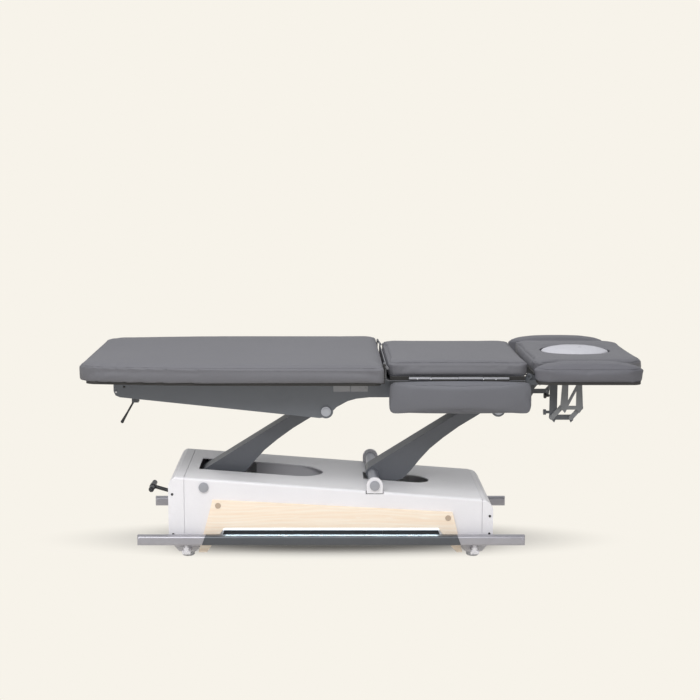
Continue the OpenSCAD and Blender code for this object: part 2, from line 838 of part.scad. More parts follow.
// Oak side panels with splayed feet and a long notch that holds the light strip.
module panel_2d() polygon([[panel_top_x0, panel_top_z0], [panel_top_x1, panel_top_z1],
    [foot_out_x1, panel_foot_z], [foot_in_x1, panel_foot_z], [knee_x1, knee_z],
    [notch_x1, notch_z], [notch_x0, notch_z], [knee_x0, knee_z], [foot_in_x0, panel_foot_z],
    [foot_out_x0, panel_foot_z]]);
module side_panel() {
    difference() {
        along_y(-half_w - panel_t, -half_w) panel_2d();
        for (c = cover_places) pin_y(c[0], c[1], cover_d / 2 + fit, -half_w - cut, -half_w - panel_t / 2);
    }
}
module near_side_panel() color("#f6e3cf") side_panel();
module far_side_panel() color("#f6e3cf") far_copy() side_panel();
module panel_screw_covers() color("#bfab97") both_sides() for (c = cover_places)
    pin_y(c[0], c[1], cover_d / 2, -half_w - panel_t - cover_t, -half_w - panel_t / 2);
module light_strips() {
    x0 = notch_x0 - light_h * (notch_x0 - knee_x0) / (notch_z - knee_z) + seat;
    x1 = notch_x1 + light_h * (knee_x1 - notch_x1) / (notch_z - knee_z) - seat;
    color("#f4f6fa") both_sides() along_y(-half_w - panel_t, -half_w) polygon([
        [notch_x0 + seat, notch_z], [notch_x1 - seat, notch_z],
        [x1, notch_z - light_h], [x0, notch_z - light_h]]);
}
module casing_screws() color("#3a3a3c") both_sides() for (c = screw_places)
    pin_y(c[0], c[1], screw_d / 2, -half_w - screw_head, -half_w);

// Welded chassis inside the casing.
module upright(x, z, y0, y1) along_y(y0, y1) difference() {
    union() {
        translate([x - upright_half, chassis_rail_z1 - e])
            square([2 * upright_half, z - chassis_rail_z1 + e]);
        translate([x, z]) circle(hub_r);
    }
    translate([x, z]) circle(axle_r + fit);
}
module cross_tube(x, z, half_len, h, w) translate([x, half_len, z + h / 2]) rotate([90, 0, 0])
    tube(w, h, chassis_wall, 2 * half_len);
module shaft_block(x, y0, y1) difference() {
    slab(x - block_half, x + block_half, y0, y1, chassis_rail_z0 + seat, castor_z + block_half);
    pin_y(x, castor_z, shaft_r + fit, y0 - cut, y1 + cut);
}
module chassis() color("#5b5e63") {
    both_sides() translate([chassis_x0, -(chassis_rail_y0 + chassis_rail_y1) / 2,
        chassis_rail_z0 + seat + chassis_rail_h / 2]) rotate([90, 0, 90])
        tube(chassis_rail_y1 - chassis_rail_y0, chassis_rail_h, chassis_wall, chassis_x1 - chassis_x0);
    for (x = [cross_foot_x, head_beam_x])
        cross_tube(x, chassis_rail_z1, inner_w - seat, cross_h, cross_w);
    both_sides() upright(lift_x0, lift_z0, -upright_y - upright_t, -upright_y);
    for (x = [ram_x, cross_mid_x, cross_head_x, pedal_x])
        cross_tube(x, low_cross_z, chassis_rail_y0 + e, cross_h, x == pedal_x ? pedal_tube_w : cross_w);
    both_sides() along_y(-ram_lug_y0 - ram_lug_t, -ram_lug_y0) difference() {
        bar_2d([ram_x, low_cross_z + cross_h - ram_pin_r], [ram_x, ram_z], 2 * ram_eye_r);
        translate([ram_x, ram_z]) circle(ram_pin_r + fit);
    }
    for (x = [castor_foot_x, castor_head_x]) both_sides()
        shaft_block(x, -chassis_rail_y0 - e, -chassis_rail_y0 + block_t);
    for (y = [-pedal_block_y, rod_y - pedal_block_in]) difference() {
        slab(pedal_x - pedal_tube_w / 2, pedal_x + pedal_tube_w / 2, y, y + pedal_block_t,
            low_cross_z + cross_h - e, pedal_z + pedal_tube_w / 2);
        pin_y(pedal_x, pedal_z, pedal_r + fit, y - cut, y + cut + pedal_block_t);
    }
}

// Foot beams with the brackets and guide posts of the foot bars.
module beam_2d(x) {
    w0 = beam_low_w / 2;
    w1 = beam_w / 2;
    b = beam_bevel;
    polygon([[x - w1, beam_z1], [x + w1, beam_z1], [x + w1, beam_z1 - b],
        [x + w0 + b, beam_z0 + b / 2], [x + w0 - b, beam_z0],
        [x - w0 + b, beam_z0], [x - w0 - b, beam_z0 + b / 2], [x - w1, beam_z1 - b]]);
}
module foot_beams() color("#e4e2e6") for (x = [foot_beam_x, head_beam_x]) difference() {
    union() {
        along_y(-beam_len / 2, beam_len / 2) beam_2d(x);
        both_sides() {
            slab(x - post_plate_w / 2, x + post_plate_w / 2, -bar_y - post_plate_in,
                -beam_len / 2 + cut, post_plate_z, post_plate_z + post_plate_t);
            pin_z(x, -bar_y, post_r, post_plate_z, bar_low_z + post_in);
            pin_z(x, -bar_y, post_collar_r, post_plate_z, bar_low_z - bar_travel - post_gap);
        }
    }
    both_sides() pin_z(x, -foot_gauge / 2, stem_r + fit, beam_z0 - cut, beam_z0 + cut);
}
module levelling_feet() color("#8d8f94") for (x = [foot_beam_x, head_beam_x]) both_sides() {
    pin_z(x, -foot_gauge / 2, foot_d / 2, foot_sole, foot_h);
    pin_z(x, -foot_gauge / 2, foot_d / 2 - foot_sole, 0, 2 * foot_sole);
    pin_z(x, -foot_gauge / 2, stem_r + foot_sole, foot_h - e, beam_z0 - seat);
    pin_z(x, -foot_gauge / 2, stem_r, foot_h - e, beam_z0 + cut - foot_sole);
}

// White ears that carry the head-side axle above the casing top.
module axle_ears() color("#eeecef") both_sides() difference() {
    union() {
        along_y(-half_w + casing_t + seat, -ear_inner_y) ear_2d(chassis_rail_z1);
        along_y(-half_w, -ear_inner_y) ear_2d(ear_low_z + ear_gap);
        slab(lift_x1 - ear_w / 2, lift_x1 + ear_w / 2, -ear_inner_y - e, -chassis_rail_y1 - seat / 2,
            chassis_rail_z1 - chassis_rail_h / 2, chassis_rail_z1 + cross_h);
    }
    pin_y(lift_x1, lift_z1, axle_r + fit, -half_w - cut, 0);
}
module ear_2d(low) {
    translate([lift_x1 - ear_w / 2, low]) square([ear_w, lift_z1 - low]);
    translate([lift_x1, lift_z1]) circle(ear_w / 2);
}
module sleeve(x, z, y0, y1) difference() {
    pin_y(x, z, sleeve_r, y0, y1);
    pin_y(x, z, axle_r - e, y0 - cut, y1 + cut);
}
module axle(x, z, half_len, sleeve_y) {
    pin_y(x, z, axle_r, -half_len - cap_t + e, half_len + cap_t - e);
    both_sides() sleeve(x, z, -sleeve_y, -arm_w / 2 - seat);
    both_sides() pin_y(x, z, cap_r, -half_len - cap_t, -half_len - seat);
    both_sides() pin_y(x, z, cap_r - cap_t, -half_len - cap_t - cap_rise, -half_len - seat);
}
module lower_axles() color("#9fa0a6") {
    axle(lift_x0, lift_z0, half_w, upright_y - seat);
    axle(lift_x1, lift_z1, half_w, ear_inner_y - seat);
}

// Trough that closes the casing below the foot-side slot.
module arm_trough() {
    x1 = foot_slot_x1 + trough_t;
    z1 = top_z(x1) - casing_t - seat - e;
    t = trough_t;
    b = trough_bend;
    color("#d3d1d4") difference() {
        along_y(-foot_slot_r - 2 * t, foot_slot_r + 2 * t) polygon([[trough_x0, trough_z0],
            [x1 - b, trough_z1], [x1, trough_z1 + b], [x1, z1],
            [trough_x0, top_z(trough_x0) - casing_t - seat]]);
        along_y(-foot_slot_r - t, foot_slot_r + t) polygon([[trough_x0 - cut, trough_z0 + t],
            [trough_x0, trough_z0 + t], [x1 - b - t, trough_z1 + t], [x1 - t, trough_z1 + b + t],
            [x1 - t, z1 + cut], [trough_x0 - cut, top_z(trough_x0) + cut]]);
    }
}
module control_box() color("#2f3134") difference() {
    slab(box_x0, box_x1, -box_y0, box_y1, chassis_rail_z1 + cross_h + seat, box_z1);
    for (i = [0:box_slots - 1]) slab(box_x0 - cut, box_x0 + box_slot, -box_y0 + (2 * i + 1) * box_pitch,
        -box_y0 + (2 * i + 2) * box_pitch, box_z1 - 2 * box_pitch, box_z1 - box_pitch);
}

// Foot bars: a dark middle between two lighter ends, on sprung guide posts.
module bar_solid() intersection() {
    translate([bar_x0, -bar_y, bar_z]) rotate([90, 0, 90]) linear_extrude(bar_len)
        rounded(bar_w, bar_h, bar_r);
    translate([(bar_x0 + bar_x1) / 2, -bar_y, 0]) linear_extrude(bar_z + bar_h)
        rounded(bar_len, bar_w + e, bar_end_r);
}
module bar_middle_2d() polygon([[bar_cut_x0 + bar_cut_lean, bar_z + bar_h],
    [bar_cut_x1 - bar_cut_lean, bar_z + bar_h], [bar_cut_x1 + bar_cut_lean, bar_z - bar_h],
    [bar_cut_x0 - bar_cut_lean, bar_z - bar_h]]);
module foot_bar() intersection() {
    bar_solid();
    along_y(-bar_y - bar_w, -bar_y + bar_w) bar_middle_2d();
}
module bar_ends() difference() {
    bar_solid();
    along_y(-bar_y - bar_w, -bar_y + bar_w) bar_middle_2d();
    for (x = [foot_beam_x, head_beam_x])
        pin_z(x, -bar_y, post_r + fit, bar_low_z - cut, bar_low_z + post_in + bar_travel + post_gap);
}
module near_foot_bar() color("#626469") foot_bar();
module near_bar_ends() color("#a6a5aa") bar_ends();
module far_foot_bar() color("#626469") far_copy() foot_bar();
module far_bar_ends() color("#a6a5aa") far_copy() bar_ends();

// Castor gear: a pedal, a push rod and two shafts with parallel cranks.
module crank(x, z, y) along_y(y, y + crank_t) bar_2d([x, z], [x, z + crank_h], crank_w);
module crank_pin(x, z) pin_y(x, z + crank_h, crank_pin_r, rod_y - pin_over, rod_y + rod_t + 2 * pin_over);
module castor_pedal() {
    px = pedal_x - pedal_reach * cos(pedal_lean);
    pz = pedal_z + pedal_reach * sin(pedal_lean);
    bar_half = pedal_half_w - pedal_r;
    color("#3b3c40") {
        from_to([pedal_x, pedal_z], [px, pz]) cylinder(r = pedal_rod_r, h = pedal_reach);
        pin_y(pedal_x, pedal_z, pedal_r, -pedal_block_y - pin_over, rod_y + rod_t + crank_t);
        pin_y(pedal_x, pedal_z, pedal_hub_r, -pedal_hub_r, pedal_hub_r);
        pin_y(px, pz, pedal_r, -bar_half, bar_half);
        both_sides() translate([px, -bar_half, pz]) sphere(pedal_r);
        both_sides() pin_y(px, pz, grip_r, -bar_half + pin_over, -bar_half + grip_len);
        pin_y(px, pz, grip_r + pin_over, -pedal_hub_r, pedal_hub_r);
        crank(pedal_x, pedal_z, rod_y + rod_t + rod_gap);
        crank_pin(pedal_x, pedal_z);
    }
}
module castor_push_rod() {
    pin_z0 = castor_z + crank_h;
    pin_z1 = pedal_z + crank_h;
    color("#8e9095") along_y(rod_y, rod_y + rod_t) difference() {
        union() {
            bar_2d([castor_foot_x, pin_z0], [castor_head_x, pin_z0], rod_w);
            bar_2d([pedal_x, pin_z1], [castor_foot_x, pin_z0], rod_w);
        }
        translate([pedal_x, pin_z1]) circle(crank_pin_r + fit);
        for (x = [castor_foot_x, castor_head_x]) translate([x, pin_z0]) circle(crank_pin_r + 2 * fit);
    }
}
module castor_shaft(x) {
    wx = x - castor_arm_len * cos(castor_lean);
    wz = castor_z - castor_arm_len * sin(castor_lean);
    plate_y = wheel_w / 2 + castor_gap;
    pin_y(x, castor_z, shaft_r, -chassis_rail_y0 + seat, chassis_rail_y0 - seat);
    crank(x, castor_z, rod_y + rod_t + rod_gap);
    crank_pin(x, castor_z);
    both_sides() {
        for (y = [-castor_y - plate_y - castor_plate_t, -castor_y + plate_y])
            along_y(y, y + castor_plate_t) bar_2d([x, castor_z], [wx, wz], castor_plate_w);
        pin_y(wx, wz, wheel_pin_r, -castor_y - plate_y - e, -castor_y + plate_y + e);
    }
}
module foot_castor_shaft() color("#8e9095") castor_shaft(castor_foot_x);
module head_castor_shaft() color("#8e9095") castor_shaft(castor_head_x);
module castor_wheels(x) {
    wx = x - castor_arm_len * cos(castor_lean);
    wz = castor_z - castor_arm_len * sin(castor_lean);
    r = wheel_d / 2;
    both_sides() translate([wx, -castor_y + wheel_w / 2, wz]) rotate([90, 0, 0]) rotate_extrude()
        difference() {
            union() {
                translate([wheel_pin_r + fit, 0]) square([r - tread_r - wheel_pin_r, wheel_w]);
                translate([r - tread_r, tread_r]) square([tread_r, wheel_w - 2 * tread_r]);
                for (y = [tread_r, wheel_w - tread_r]) translate([r - tread_r, y]) circle(tread_r);
            }
            for (y = [-wheel_w / 4, wheel_w * 3 / 4]) translate([r / 2 - fit, y])
                square([r / 4, wheel_w / 2]);
        }
}
module foot_castor_wheels() color("#3c3d40") castor_wheels(castor_foot_x);
module head_castor_wheels() color("#3c3d40") castor_wheels(castor_head_x);

// Lift arm in its own frame, a sheet-steel channel that swells to a belly near
// its lower pivot and is open on its underside.
module arm_2d(inset) {
    low = [for (s = belly_shares) [s[0] * lift_len, -s[1] * belly_v]];
    polygon(concat([[0, hub_r - inset], [lift_len, hub_r - inset], [lift_len, -hub_r + neck_v / 2]],
        [for (i = [len(low) - 1:-1:0]) low[i] + [0, -inset]], [[-inset, -hub_r]]));
}
module in_arm(x, z) translate([x, 0, z]) rotate([0, -lift_angle, 0]) children();
module lift_arm(x, z) in_arm(x, z) difference() {
    union() {
        difference() {
            along_y(-arm_w / 2, arm_w / 2) arm_2d(0);
            along_y(-arm_w / 2 + arm_t, arm_w / 2 - arm_t) arm_2d(arm_t);
        }
        for (u = [0, lift_len]) pin_y(u, 0, hub_r, -arm_w / 2, arm_w / 2);
        for (k = rib_shares) translate([k * lift_len, -arm_w / 2 + e, -neck_v])
            cube([arm_t, arm_w - 2 * e, neck_v + hub_r - arm_t / 2]);
    }
    for (u = [0, lift_len]) pin_y(u, 0, axle_r + fit, -arm_w, arm_w);
}
module foot_lift_arm() color("#565a61") lift_arm(lift_x0, lift_z0);
module head_lift_arm() color("#565a61") {
    lift_arm(lift_x1, lift_z1);
    both_sides() along_y(-crank_plate_y - crank_plate_t, -crank_plate_y) difference() {
        bar_2d([lift_x1, lift_z1], [crank_x, crank_z], crank_plate_w);
        translate([lift_x1, lift_z1]) circle(hub_r - arm_t / 2);
        translate([crank_x, crank_z]) circle(ram_pin_r + fit);
    }
}

// Electric actuator.
module in_ram() translate([ram_x, 0, ram_z]) rotate([0, 90 - ram_aim, 0]) children();
module actuator_tube() color("#2c2d30") {
    in_ram() {
        difference() {
            translate([0, 0, ram_head]) cylinder(r = ram_d / 2, h = ram_tube_len - ram_head);
            translate([0, 0, ram_bore_u]) cylinder(r = ram_d / 2 - ram_wall, h = ram_tube_len);
        }
        translate([0, 0, ram_eye_r - ram_wall])
            cylinder(r1 = ram_eye_r, r2 = ram_d / 2 - ram_wall, h = ram_head - ram_eye_r + ram_wall + e);
        translate([-ram_d / 2 + ram_wall, -ram_d / 2 + ram_wall, ram_head + ram_wall])
            cube([ram_d / 2, ram_d - 2 * ram_wall, ram_bore_u - ram_head]);
    }
    pin_y(ram_x, ram_z, ram_eye_r - seat, -ram_lug_y0 + seat, ram_lug_y0 - seat);
    pin_y(ram_x, ram_z, ram_pin_r, -ram_lug_y0 - ram_lug_t, ram_lug_y0 + ram_lug_t);
}
module actuator_rod() color("#c4c6ca") {
    rod_u = ram_tube_len - ram_rod_in;
    in_ram() translate([0, 0, rod_u]) cylinder(r = ram_rod_d / 2, h = ram_reach - rod_u);
    pin_y(crank_x, crank_z, ram_eye_r - ram_wall, -crank_plate_y + seat, crank_plate_y - seat);
    pin_y(crank_x, crank_z, ram_pin_r, -crank_plate_y - crank_plate_t, crank_plate_y + crank_plate_t);
}

// Upper frame: two cut side plates, cross tubes and the axles of the arms.
module rail_2d() {
    r = rail_nose_r;
    g = lug_r;
    polygon([[rail_x0 + r, rail_top_z], [rail_x1, rail_top_z], [rail_x1, rail_top_z - 2 * r],
        [rail_x1 - g, rail_waist_z + rail_step / 4], [top_x1 + 2 * g, rail_waist_z - rail_step / 4],
        [top_x1 + g, top_pz1 + g / 4], [top_x1, top_pz1 - g * 0.8], [top_x1 - g, top_pz1 + g / 4],
        [top_x1 - g * 1.4, rail_waist_z - rail_step / 2], [top_x1 - g * 2.6, rail_waist_z],
        [top_x0 + g * 6, rail_waist_z], [top_x0 + g * 4.2, rail_waist_z - rail_step / 8],
        [top_x0 + g * 3, rail_waist_z - rail_step / 3], [top_x0 + g * 1.5, top_pz0 + g * 0.6],
        [top_x0 + g * 0.9, top_pz0], [top_x0, top_pz0 - g * 0.8], [top_x0 - g * 0.85, rail_deep_z],
        [rail_x0 + r, rail_low_z], [rail_x0 + r * 0.3, rail_low_z + r * 0.3],
        [rail_x0, rail_low_z + r], [rail_x0, rail_top_z - r], [rail_x0 + r * 0.3, rail_top_z - r * 0.3]]);
    translate([top_x0, top_pz0]) circle(g);
    translate([top_x1, top_pz1]) circle(g);
    bar_2d([rail_x1 - 2 * head_lug_r, rail_top_z - 2 * head_lug_r], [head_hinge_x, head_hinge_z],
        2 * head_lug_r);
}
module side_rail() difference() {
    union() {
        along_y(-rail_y1, -rail_y0) rail_2d();
        slab(rail_x0 + rail_nose_r, flange_x1, -rail_y0 - e, -rail_y0 + flange_w,
            rail_top_z - flange_t, rail_top_z);
    }
    for (p = [[top_x0, top_pz0], [top_x1, top_pz1]]) pin_y(p[0], p[1], axle_r + fit, -rail_y1 - cut, 0);
    pin_y(head_hinge_x, head_hinge_z, head_pin_r + fit, -rail_y1 - cut, 0);
}
module near_side_rail() color("#6a6e75") side_rail();
module far_side_rail() color("#6a6e75") far_copy() side_rail();
module upper_cross_tubes() color("#4d5056") {
    z = rail_top_z - flange_t - upper_tube_h - seat;
    base_x = gas_x0 + gas_eye_r + gas_lug_r + eye_proud + gas_base_gap;
    for (x = upper_places) cross_tube(x, z, rail_y0, upper_tube_h, upper_tube_w);
    cross_tube(base_x, z, rail_y0, upper_tube_h, gas_lug_r * 2 + eye_proud * 2);
    both_sides() along_y(-gas_lug_y0 - gas_lug_t, -gas_lug_y0) difference() {
        bar_2d([gas_x0, gas_z0], [base_x, z + gas_pin_r / 2], 2 * gas_lug_r);
        translate([gas_x0, gas_z0]) circle(gas_pin_r + fit);
    }
    both_sides() {
        hanger();
        pin_x(-knob_y, knob_low_z, knob_r, knob_x0, knob_x1);
        pin_x(-knob_y, knob_low_z, knob_r / 2, knob_x1 - e, link_x - link_w / 2 + e);
    }
    for (s = [-1, 1]) difference() {
        slab(release_x - release_half, release_x + release_half,
            -release_y + s * release_gap - release_plate / 2,
            -release_y + s * release_gap + release_plate / 2,
            release_z - release_r - release_plate, z + upper_tube_h);
        pin_y(release_x, release_z, release_plate / 2 + fit, -2 * release_y, 0);
    }
    slab(upper_places[0], release_x + release_half, -release_y - release_gap - release_plate / 2,
        -release_y + release_gap + release_plate / 2, z + upper_tube_h - 2 * release_plate, z + upper_tube_h);
}
module upper_axles() color("#aeb3bb") {
    axle(top_x0, top_pz0, rail_y1, rail_y0 - seat);
    axle(top_x1, top_pz1, rail_y1, rail_y0 - seat);
}
module label_plates() color("#c9c7c9") {
    for (i = [0, 1]) translate([plate_x0 + plate_w / 2 + i * (plate_w + plate_t), -rail_y1, plate_z])
        rotate([90, 0, 0]) linear_extrude(plate_t) rounded(plate_w, plate_h, plate_t);
    for (x = rivet_places) pin_y(x, plate_z, rivet_r, -rail_y1 - 1.5 * plate_t, -rail_y1 - plate_t + e);
}
module release_lever() {
    p = [release_x, release_z];
    q = p - release_len * [sin(release_lean), cos(release_lean)];
    color("#29292b") translate([0, -release_y, 0]) {
        from_to(p, q) cylinder(r = lever_r, h = release_len);
        from_to(q + (p - q) * lever_share, q)
            cylinder(r1 = lever_r, r2 = lever_end_r, h = release_len * lever_share);
        translate([q[0], 0, q[1]]) sphere(lever_end_r + lever_bulb);
        pin_y(release_x, release_z, release_r, -release_gap + release_plate / 2 + seat,
            release_gap - release_plate / 2 - seat);
        pin_y(release_x, release_z, release_plate / 2, -release_gap - release_plate / 2,
            release_gap + release_plate / 2);
    }
}

// Gas spring that carries the raised leg section.
module in_gas() translate([gas_x0, 0, gas_z0]) rotate([0, 90 - gas_aim, 0]) children();
module gas_spring_tube() color("#2b2c2f") {
    in_gas() difference() {
        translate([0, 0, gas_eye_r - e]) cylinder(r = gas_tube_r, h = gas_tube_len - gas_eye_r);
        translate([0, 0, gas_bore_u]) cylinder(r = gas_tube_r - gas_wall, h = gas_tube_len);
    }
    pin_y(gas_x0, gas_z0, gas_eye_r, -gas_lug_y0 + seat, gas_lug_y0 - seat);
    pin_y(gas_x0, gas_z0, gas_pin_r, -gas_lug_y0 - gas_lug_t, gas_lug_y0 + gas_lug_t);
}
module gas_spring_rod() color("#b9bcc1") {
    rod_u = gas_tube_len - gas_rod_in;
    in_gas() translate([0, 0, rod_u]) cylinder(r = gas_rod_r, h = gas_reach - rod_u);
    pin_y(gas_x1, gas_z1, gas_head_r, -gas_lug_y0 + seat, gas_lug_y0 - seat);
    pin_y(gas_x1, gas_z1, gas_pin_r, -gas_lug_y0 - gas_lug_t, gas_lug_y0 + gas_lug_t);
}

// Leg section: board, hinge straps and a broad cushion that narrows at the foot.
module leg_board() color("#4a4038") {
    inset = [for (p = leg_plan) drawn(p, on_spine(p, leg_spine_x0, leg_spine_x1), leg_board_in)];
    translate([0, 0, leg_board_z]) linear_extrude(board_t)
        polygon([for (p = inset) [max(p[0], leg_x0 + leg_board_back), p[1]]]);
    both_sides() along_y(-gas_lug_y0 - gas_lug_t, -gas_lug_y0) difference() {
        union() {
            translate([gas_x1 - gas_lug_r, gas_z1]) square([2 * gas_lug_r, leg_board_z - gas_z1 + e]);
            translate([gas_x1, gas_z1]) circle(gas_lug_r);
        }
        translate([gas_x1, gas_z1]) circle(gas_pin_r + fit);
    }
    both_sides() {
        slab(leg_x1 - strap_foot, strap_x0 + strap_t, -strap_y0 - strap_w, -strap_y0,
            leg_board_z - strap_t, leg_board_z + e);
        slab(strap_x0, strap_x0 + strap_t, -strap_y0 - strap_w, -strap_y0, leg_board_z - strap_t,
            leg_hinge_z);
        pin_y(leg_hinge_x, leg_hinge_z, strap_r, -strap_y0 - strap_w, -strap_y0);
        pin_y(leg_hinge_x, leg_hinge_z, hinge_pin_r, -strap_y0 - e, -tray_y - seat);
    }
}
module leg_pad() color("#85858a") cushion(leg_plan, leg_spine_x0, leg_spine_x1, pad_z0, pad_seam_z,
    pad_tuck, pad_soft, pad_crown);

// Mid section: a thin metal tray with an upright plate at its foot end.
module mid_tray() color("#8f9094") {
    along_y(-tray_y, tray_y) {
        translate([tray_x0, tray_z0 + tray_bend_r])
            square([tray_t, tray_top_z - tray_z0 - tray_bend_r]);
        translate([tray_x0 + tray_bend_r, tray_z0]) square([tray_x1 - tray_x0 - tray_bend_r, tray_t]);
        intersection() {
            translate([tray_x0 + tray_bend_r, tray_z0 + tray_bend_r]) difference() {
                circle(tray_bend_r);
                circle(tray_bend_r - tray_t);
            }
            translate([tray_x0, tray_z0]) square(tray_bend_r);
        }
    }
    slab(mid_x0 + tray_bend_r, tray_x1, -mid_board_y, mid_board_y, tray_z0 + tray_t - e, mid_pad_z0);
    both_sides() difference() {
        along_y(-strap_y0 + seat, -tray_y + e) bar_2d([leg_hinge_x, leg_hinge_z],
            [tray_x0 + tray_t + strap_r, leg_hinge_z - ear_drop], 2 * strap_r);
        pin_y(leg_hinge_x, leg_hinge_z, hinge_pin_r + fit, -strap_y0 - cut, 0);
        slab(tray_x0 - cut, tray_x0 + tray_t, -tray_y + e, 0, tray_z0, tray_top_z + cut);
    }
}
module mid_pad() color("#85858a") cushion(oblong(mid_x0, mid_x1, mid_w, mid_r, mid_r, 4),
    mid_x0 + mid_w / 2, mid_x1 - mid_w / 2 + e, mid_pad_z0, mid_seam_z, pad_tuck, pad_soft, mid_crown);

// Wing hinges: knuckles taken in turn by the tray's side and by the wing board.
module knuckles(turn) for (i = [turn:2:len(hinge_cuts) - 2])
    rotate([0, 90, 0]) translate([0, 0, hinge_cuts[i] + knuckle_gap])
        cylinder(r = knuckle_r, h = hinge_cuts[i + 1] - hinge_cuts[i] - 2 * knuckle_gap);
module at_hinge() translate([0, -wing_axis_y, wing_axis_z]) children();
module wing_hinge_rails() color("#9b9ca1") both_sides() {
    at_hinge() knuckles(0);
    pin_x(-wing_axis_y, wing_axis_z, hinge_pin_r, hinge_cuts[0] + knuckle_gap,
        hinge_cuts[len(hinge_cuts) - 1] - knuckle_gap);
    for (i = [0:2:len(hinge_cuts) - 2]) slab(hinge_cuts[i] + knuckle_gap,
        hinge_cuts[i + 1] - knuckle_gap, -wing_axis_y + hinge_pin_r, -tray_y - seat + fit,
        wing_axis_z - knuckle_r - leaf_t, wing_axis_z + knuckle_r);
}
module wing_board() {
    inner = wing_axis_y - wing_board_t / 2;
    difference() {
        union() {
            at_hinge() knuckles(1);
            for (i = [1:2:len(hinge_cuts) - 2]) slab(hinge_cuts[i] + knuckle_gap,
                hinge_cuts[i + 1] - knuckle_gap, -inner - wing_board_t, -wing_axis_y + leaf_t,
                wing_board_z1 - e, wing_axis_z);
        }
        pin_x(-wing_axis_y, wing_axis_z, hinge_pin_r + fit, 0, wing_x1);
    }
    translate([(wing_x0 + wing_x1) / 2, -inner, (wing_low_z + wing_board_z1 + wing_in) / 2])
        rotate([90, 0, 0]) linear_extrude(wing_board_t)
            rounded(wing_x1 - wing_x0 - 2 * wing_in, wing_board_z1 - wing_low_z - wing_in, wing_r - wing_in);
}
module wing_pad() translate([0, -wing_axis_y - wing_board_t / 2, wing_mid_z]) rotate([90, 0, 0])
    cushion(oblong(wing_x0, wing_x1, wing_pad_h, wing_r, wing_r, 4), wing_x0 + wing_pad_h / 2,
        wing_x1 - wing_pad_h / 2, 0, wing_pad_t, wing_tuck, wing_soft, wing_crown);
module near_wing_board() color("#4a4038") wing_board();
module near_wing_pad() color("#75757b") wing_pad();
module far_wing_board() color("#4a4038") far_copy() wing_board();
module far_wing_pad() color("#75757b") far_copy() wing_pad();

// Head section: a tilting frame and board, a cushion with a face opening.
function oval(cx, len, w) = [for (i = [0:oval_n - 1]) let (a = 360 * i / oval_n)
    [cx + len / 2 * cos(a), w / 2 * sin(a)]];
module head_frame() color("#55585e") {
    both_sides() {
        slab(head_bar_x0, head_bar_x1, -head_bar_y1, -head_bar_y1 + head_bar_w, head_bar_z0, head_board_z);
        along_y(-head_bar_y1, -head_bar_y1 + rail_t) bar_2d([head_hinge_x, head_hinge_z],
            [head_bar_x0 + head_lug_r, head_board_z - head_lug_r], 2 * head_lug_r);
        pin_y(head_hinge_x, head_hinge_z, head_pin_r, -rail_y1 - seat, -head_bar_y1 + e);
    }
    for (x = [head_bar_x0, head_bar_x1 - head_bar_w]) slab(x, x + head_bar_w, -head_bar_y1 + e,
        head_bar_y1 - e, head_bar_z0, head_board_z);
    translate([0, 0, head_board_z - e]) linear_extrude(board_t + e) difference() {
        translate([(head_board_x0 + head_board_x1) / 2, 0])
            rounded(head_board_x1 - head_board_x0, head_w - 2 * leg_board_in, head_r - leg_board_in);
        polygon(oval(face_x, face_len - 2 * plug_lip, face_w - 2 * plug_lip));
    }
}
module head_pad() color("#85858a") difference() {
    cushion(oblong(head_x0, head_x1, head_w, head_foot_r, head_r, 4), head_x0 + head_w / 2 - e,
        head_x1 - head_w / 2 + head_spine, head_board_z + board_t, pad_seam_z, pad_tuck, pad_soft, pad_crown);
    translate([0, 0, head_board_z]) linear_extrude(2 * cut + pad_seam_z - head_board_z)
        polygon(oval(face_x, face_len, face_w));
}
module face_plug() color("#adaeb4") {
    translate([0, 0, head_board_z + board_t + seat]) linear_extrude(plug_top_z - head_board_z - board_t)
        polygon(oval(face_x, face_len - plug_gap, face_w - plug_gap));
}

// Arm rests: hangers on the rails, parallel links, carriers and cushions.
module hanger() {
    tip_z = link_z - hanger_tip;
    half = link_w / 2;
    along_y(-hanger_y - hanger_t, -hanger_y) difference() {
        union() {
            polygon([[link_x - half, hanger_top_z], [link_x + link_w, hanger_top_z],
                [link_x + link_w, link_z], [link_x + half, tip_z], [link_x - half, link_z]]);
            bar_2d([link_x, link_z], [link_x + link_pitch, link_z], link_w + eye_proud);
            translate([link_x + link_pitch, 0])
                polygon([[-half, link_z], [half, link_z], [half, tip_z + half], [0, tip_z]]);
            translate([bearer_x0, bearer_z0]) square([link_x - bearer_x0, hanger_top_z - bearer_z0]);
        }
        for (i = [0, 1]) translate([link_x + i * link_pitch, link_z]) circle(link_pin_r + fit);
    }
    slab(bearer_x0, rail_x1 - rail_t, -hanger_y - e, -rail_y1 - seat / 2, bearer_z0, hanger_top_z);
}
module arm_link(i) {
    p = [link_x + i * link_pitch, link_z];
    q = p + [link_dx2, link_dz2];
    y = i == 0 ? link_y : head_link_y;
    color("#7c7f85") {
        along_y(-y - link_t, -y) difference() {
            bar_2d(p, q, link_w);
            translate(q) circle(link_pin_r + fit);
        }
        pin_y(p[0], p[1], link_pin_r, -y - link_t - link_head, -hanger_y + seat);
    }
}
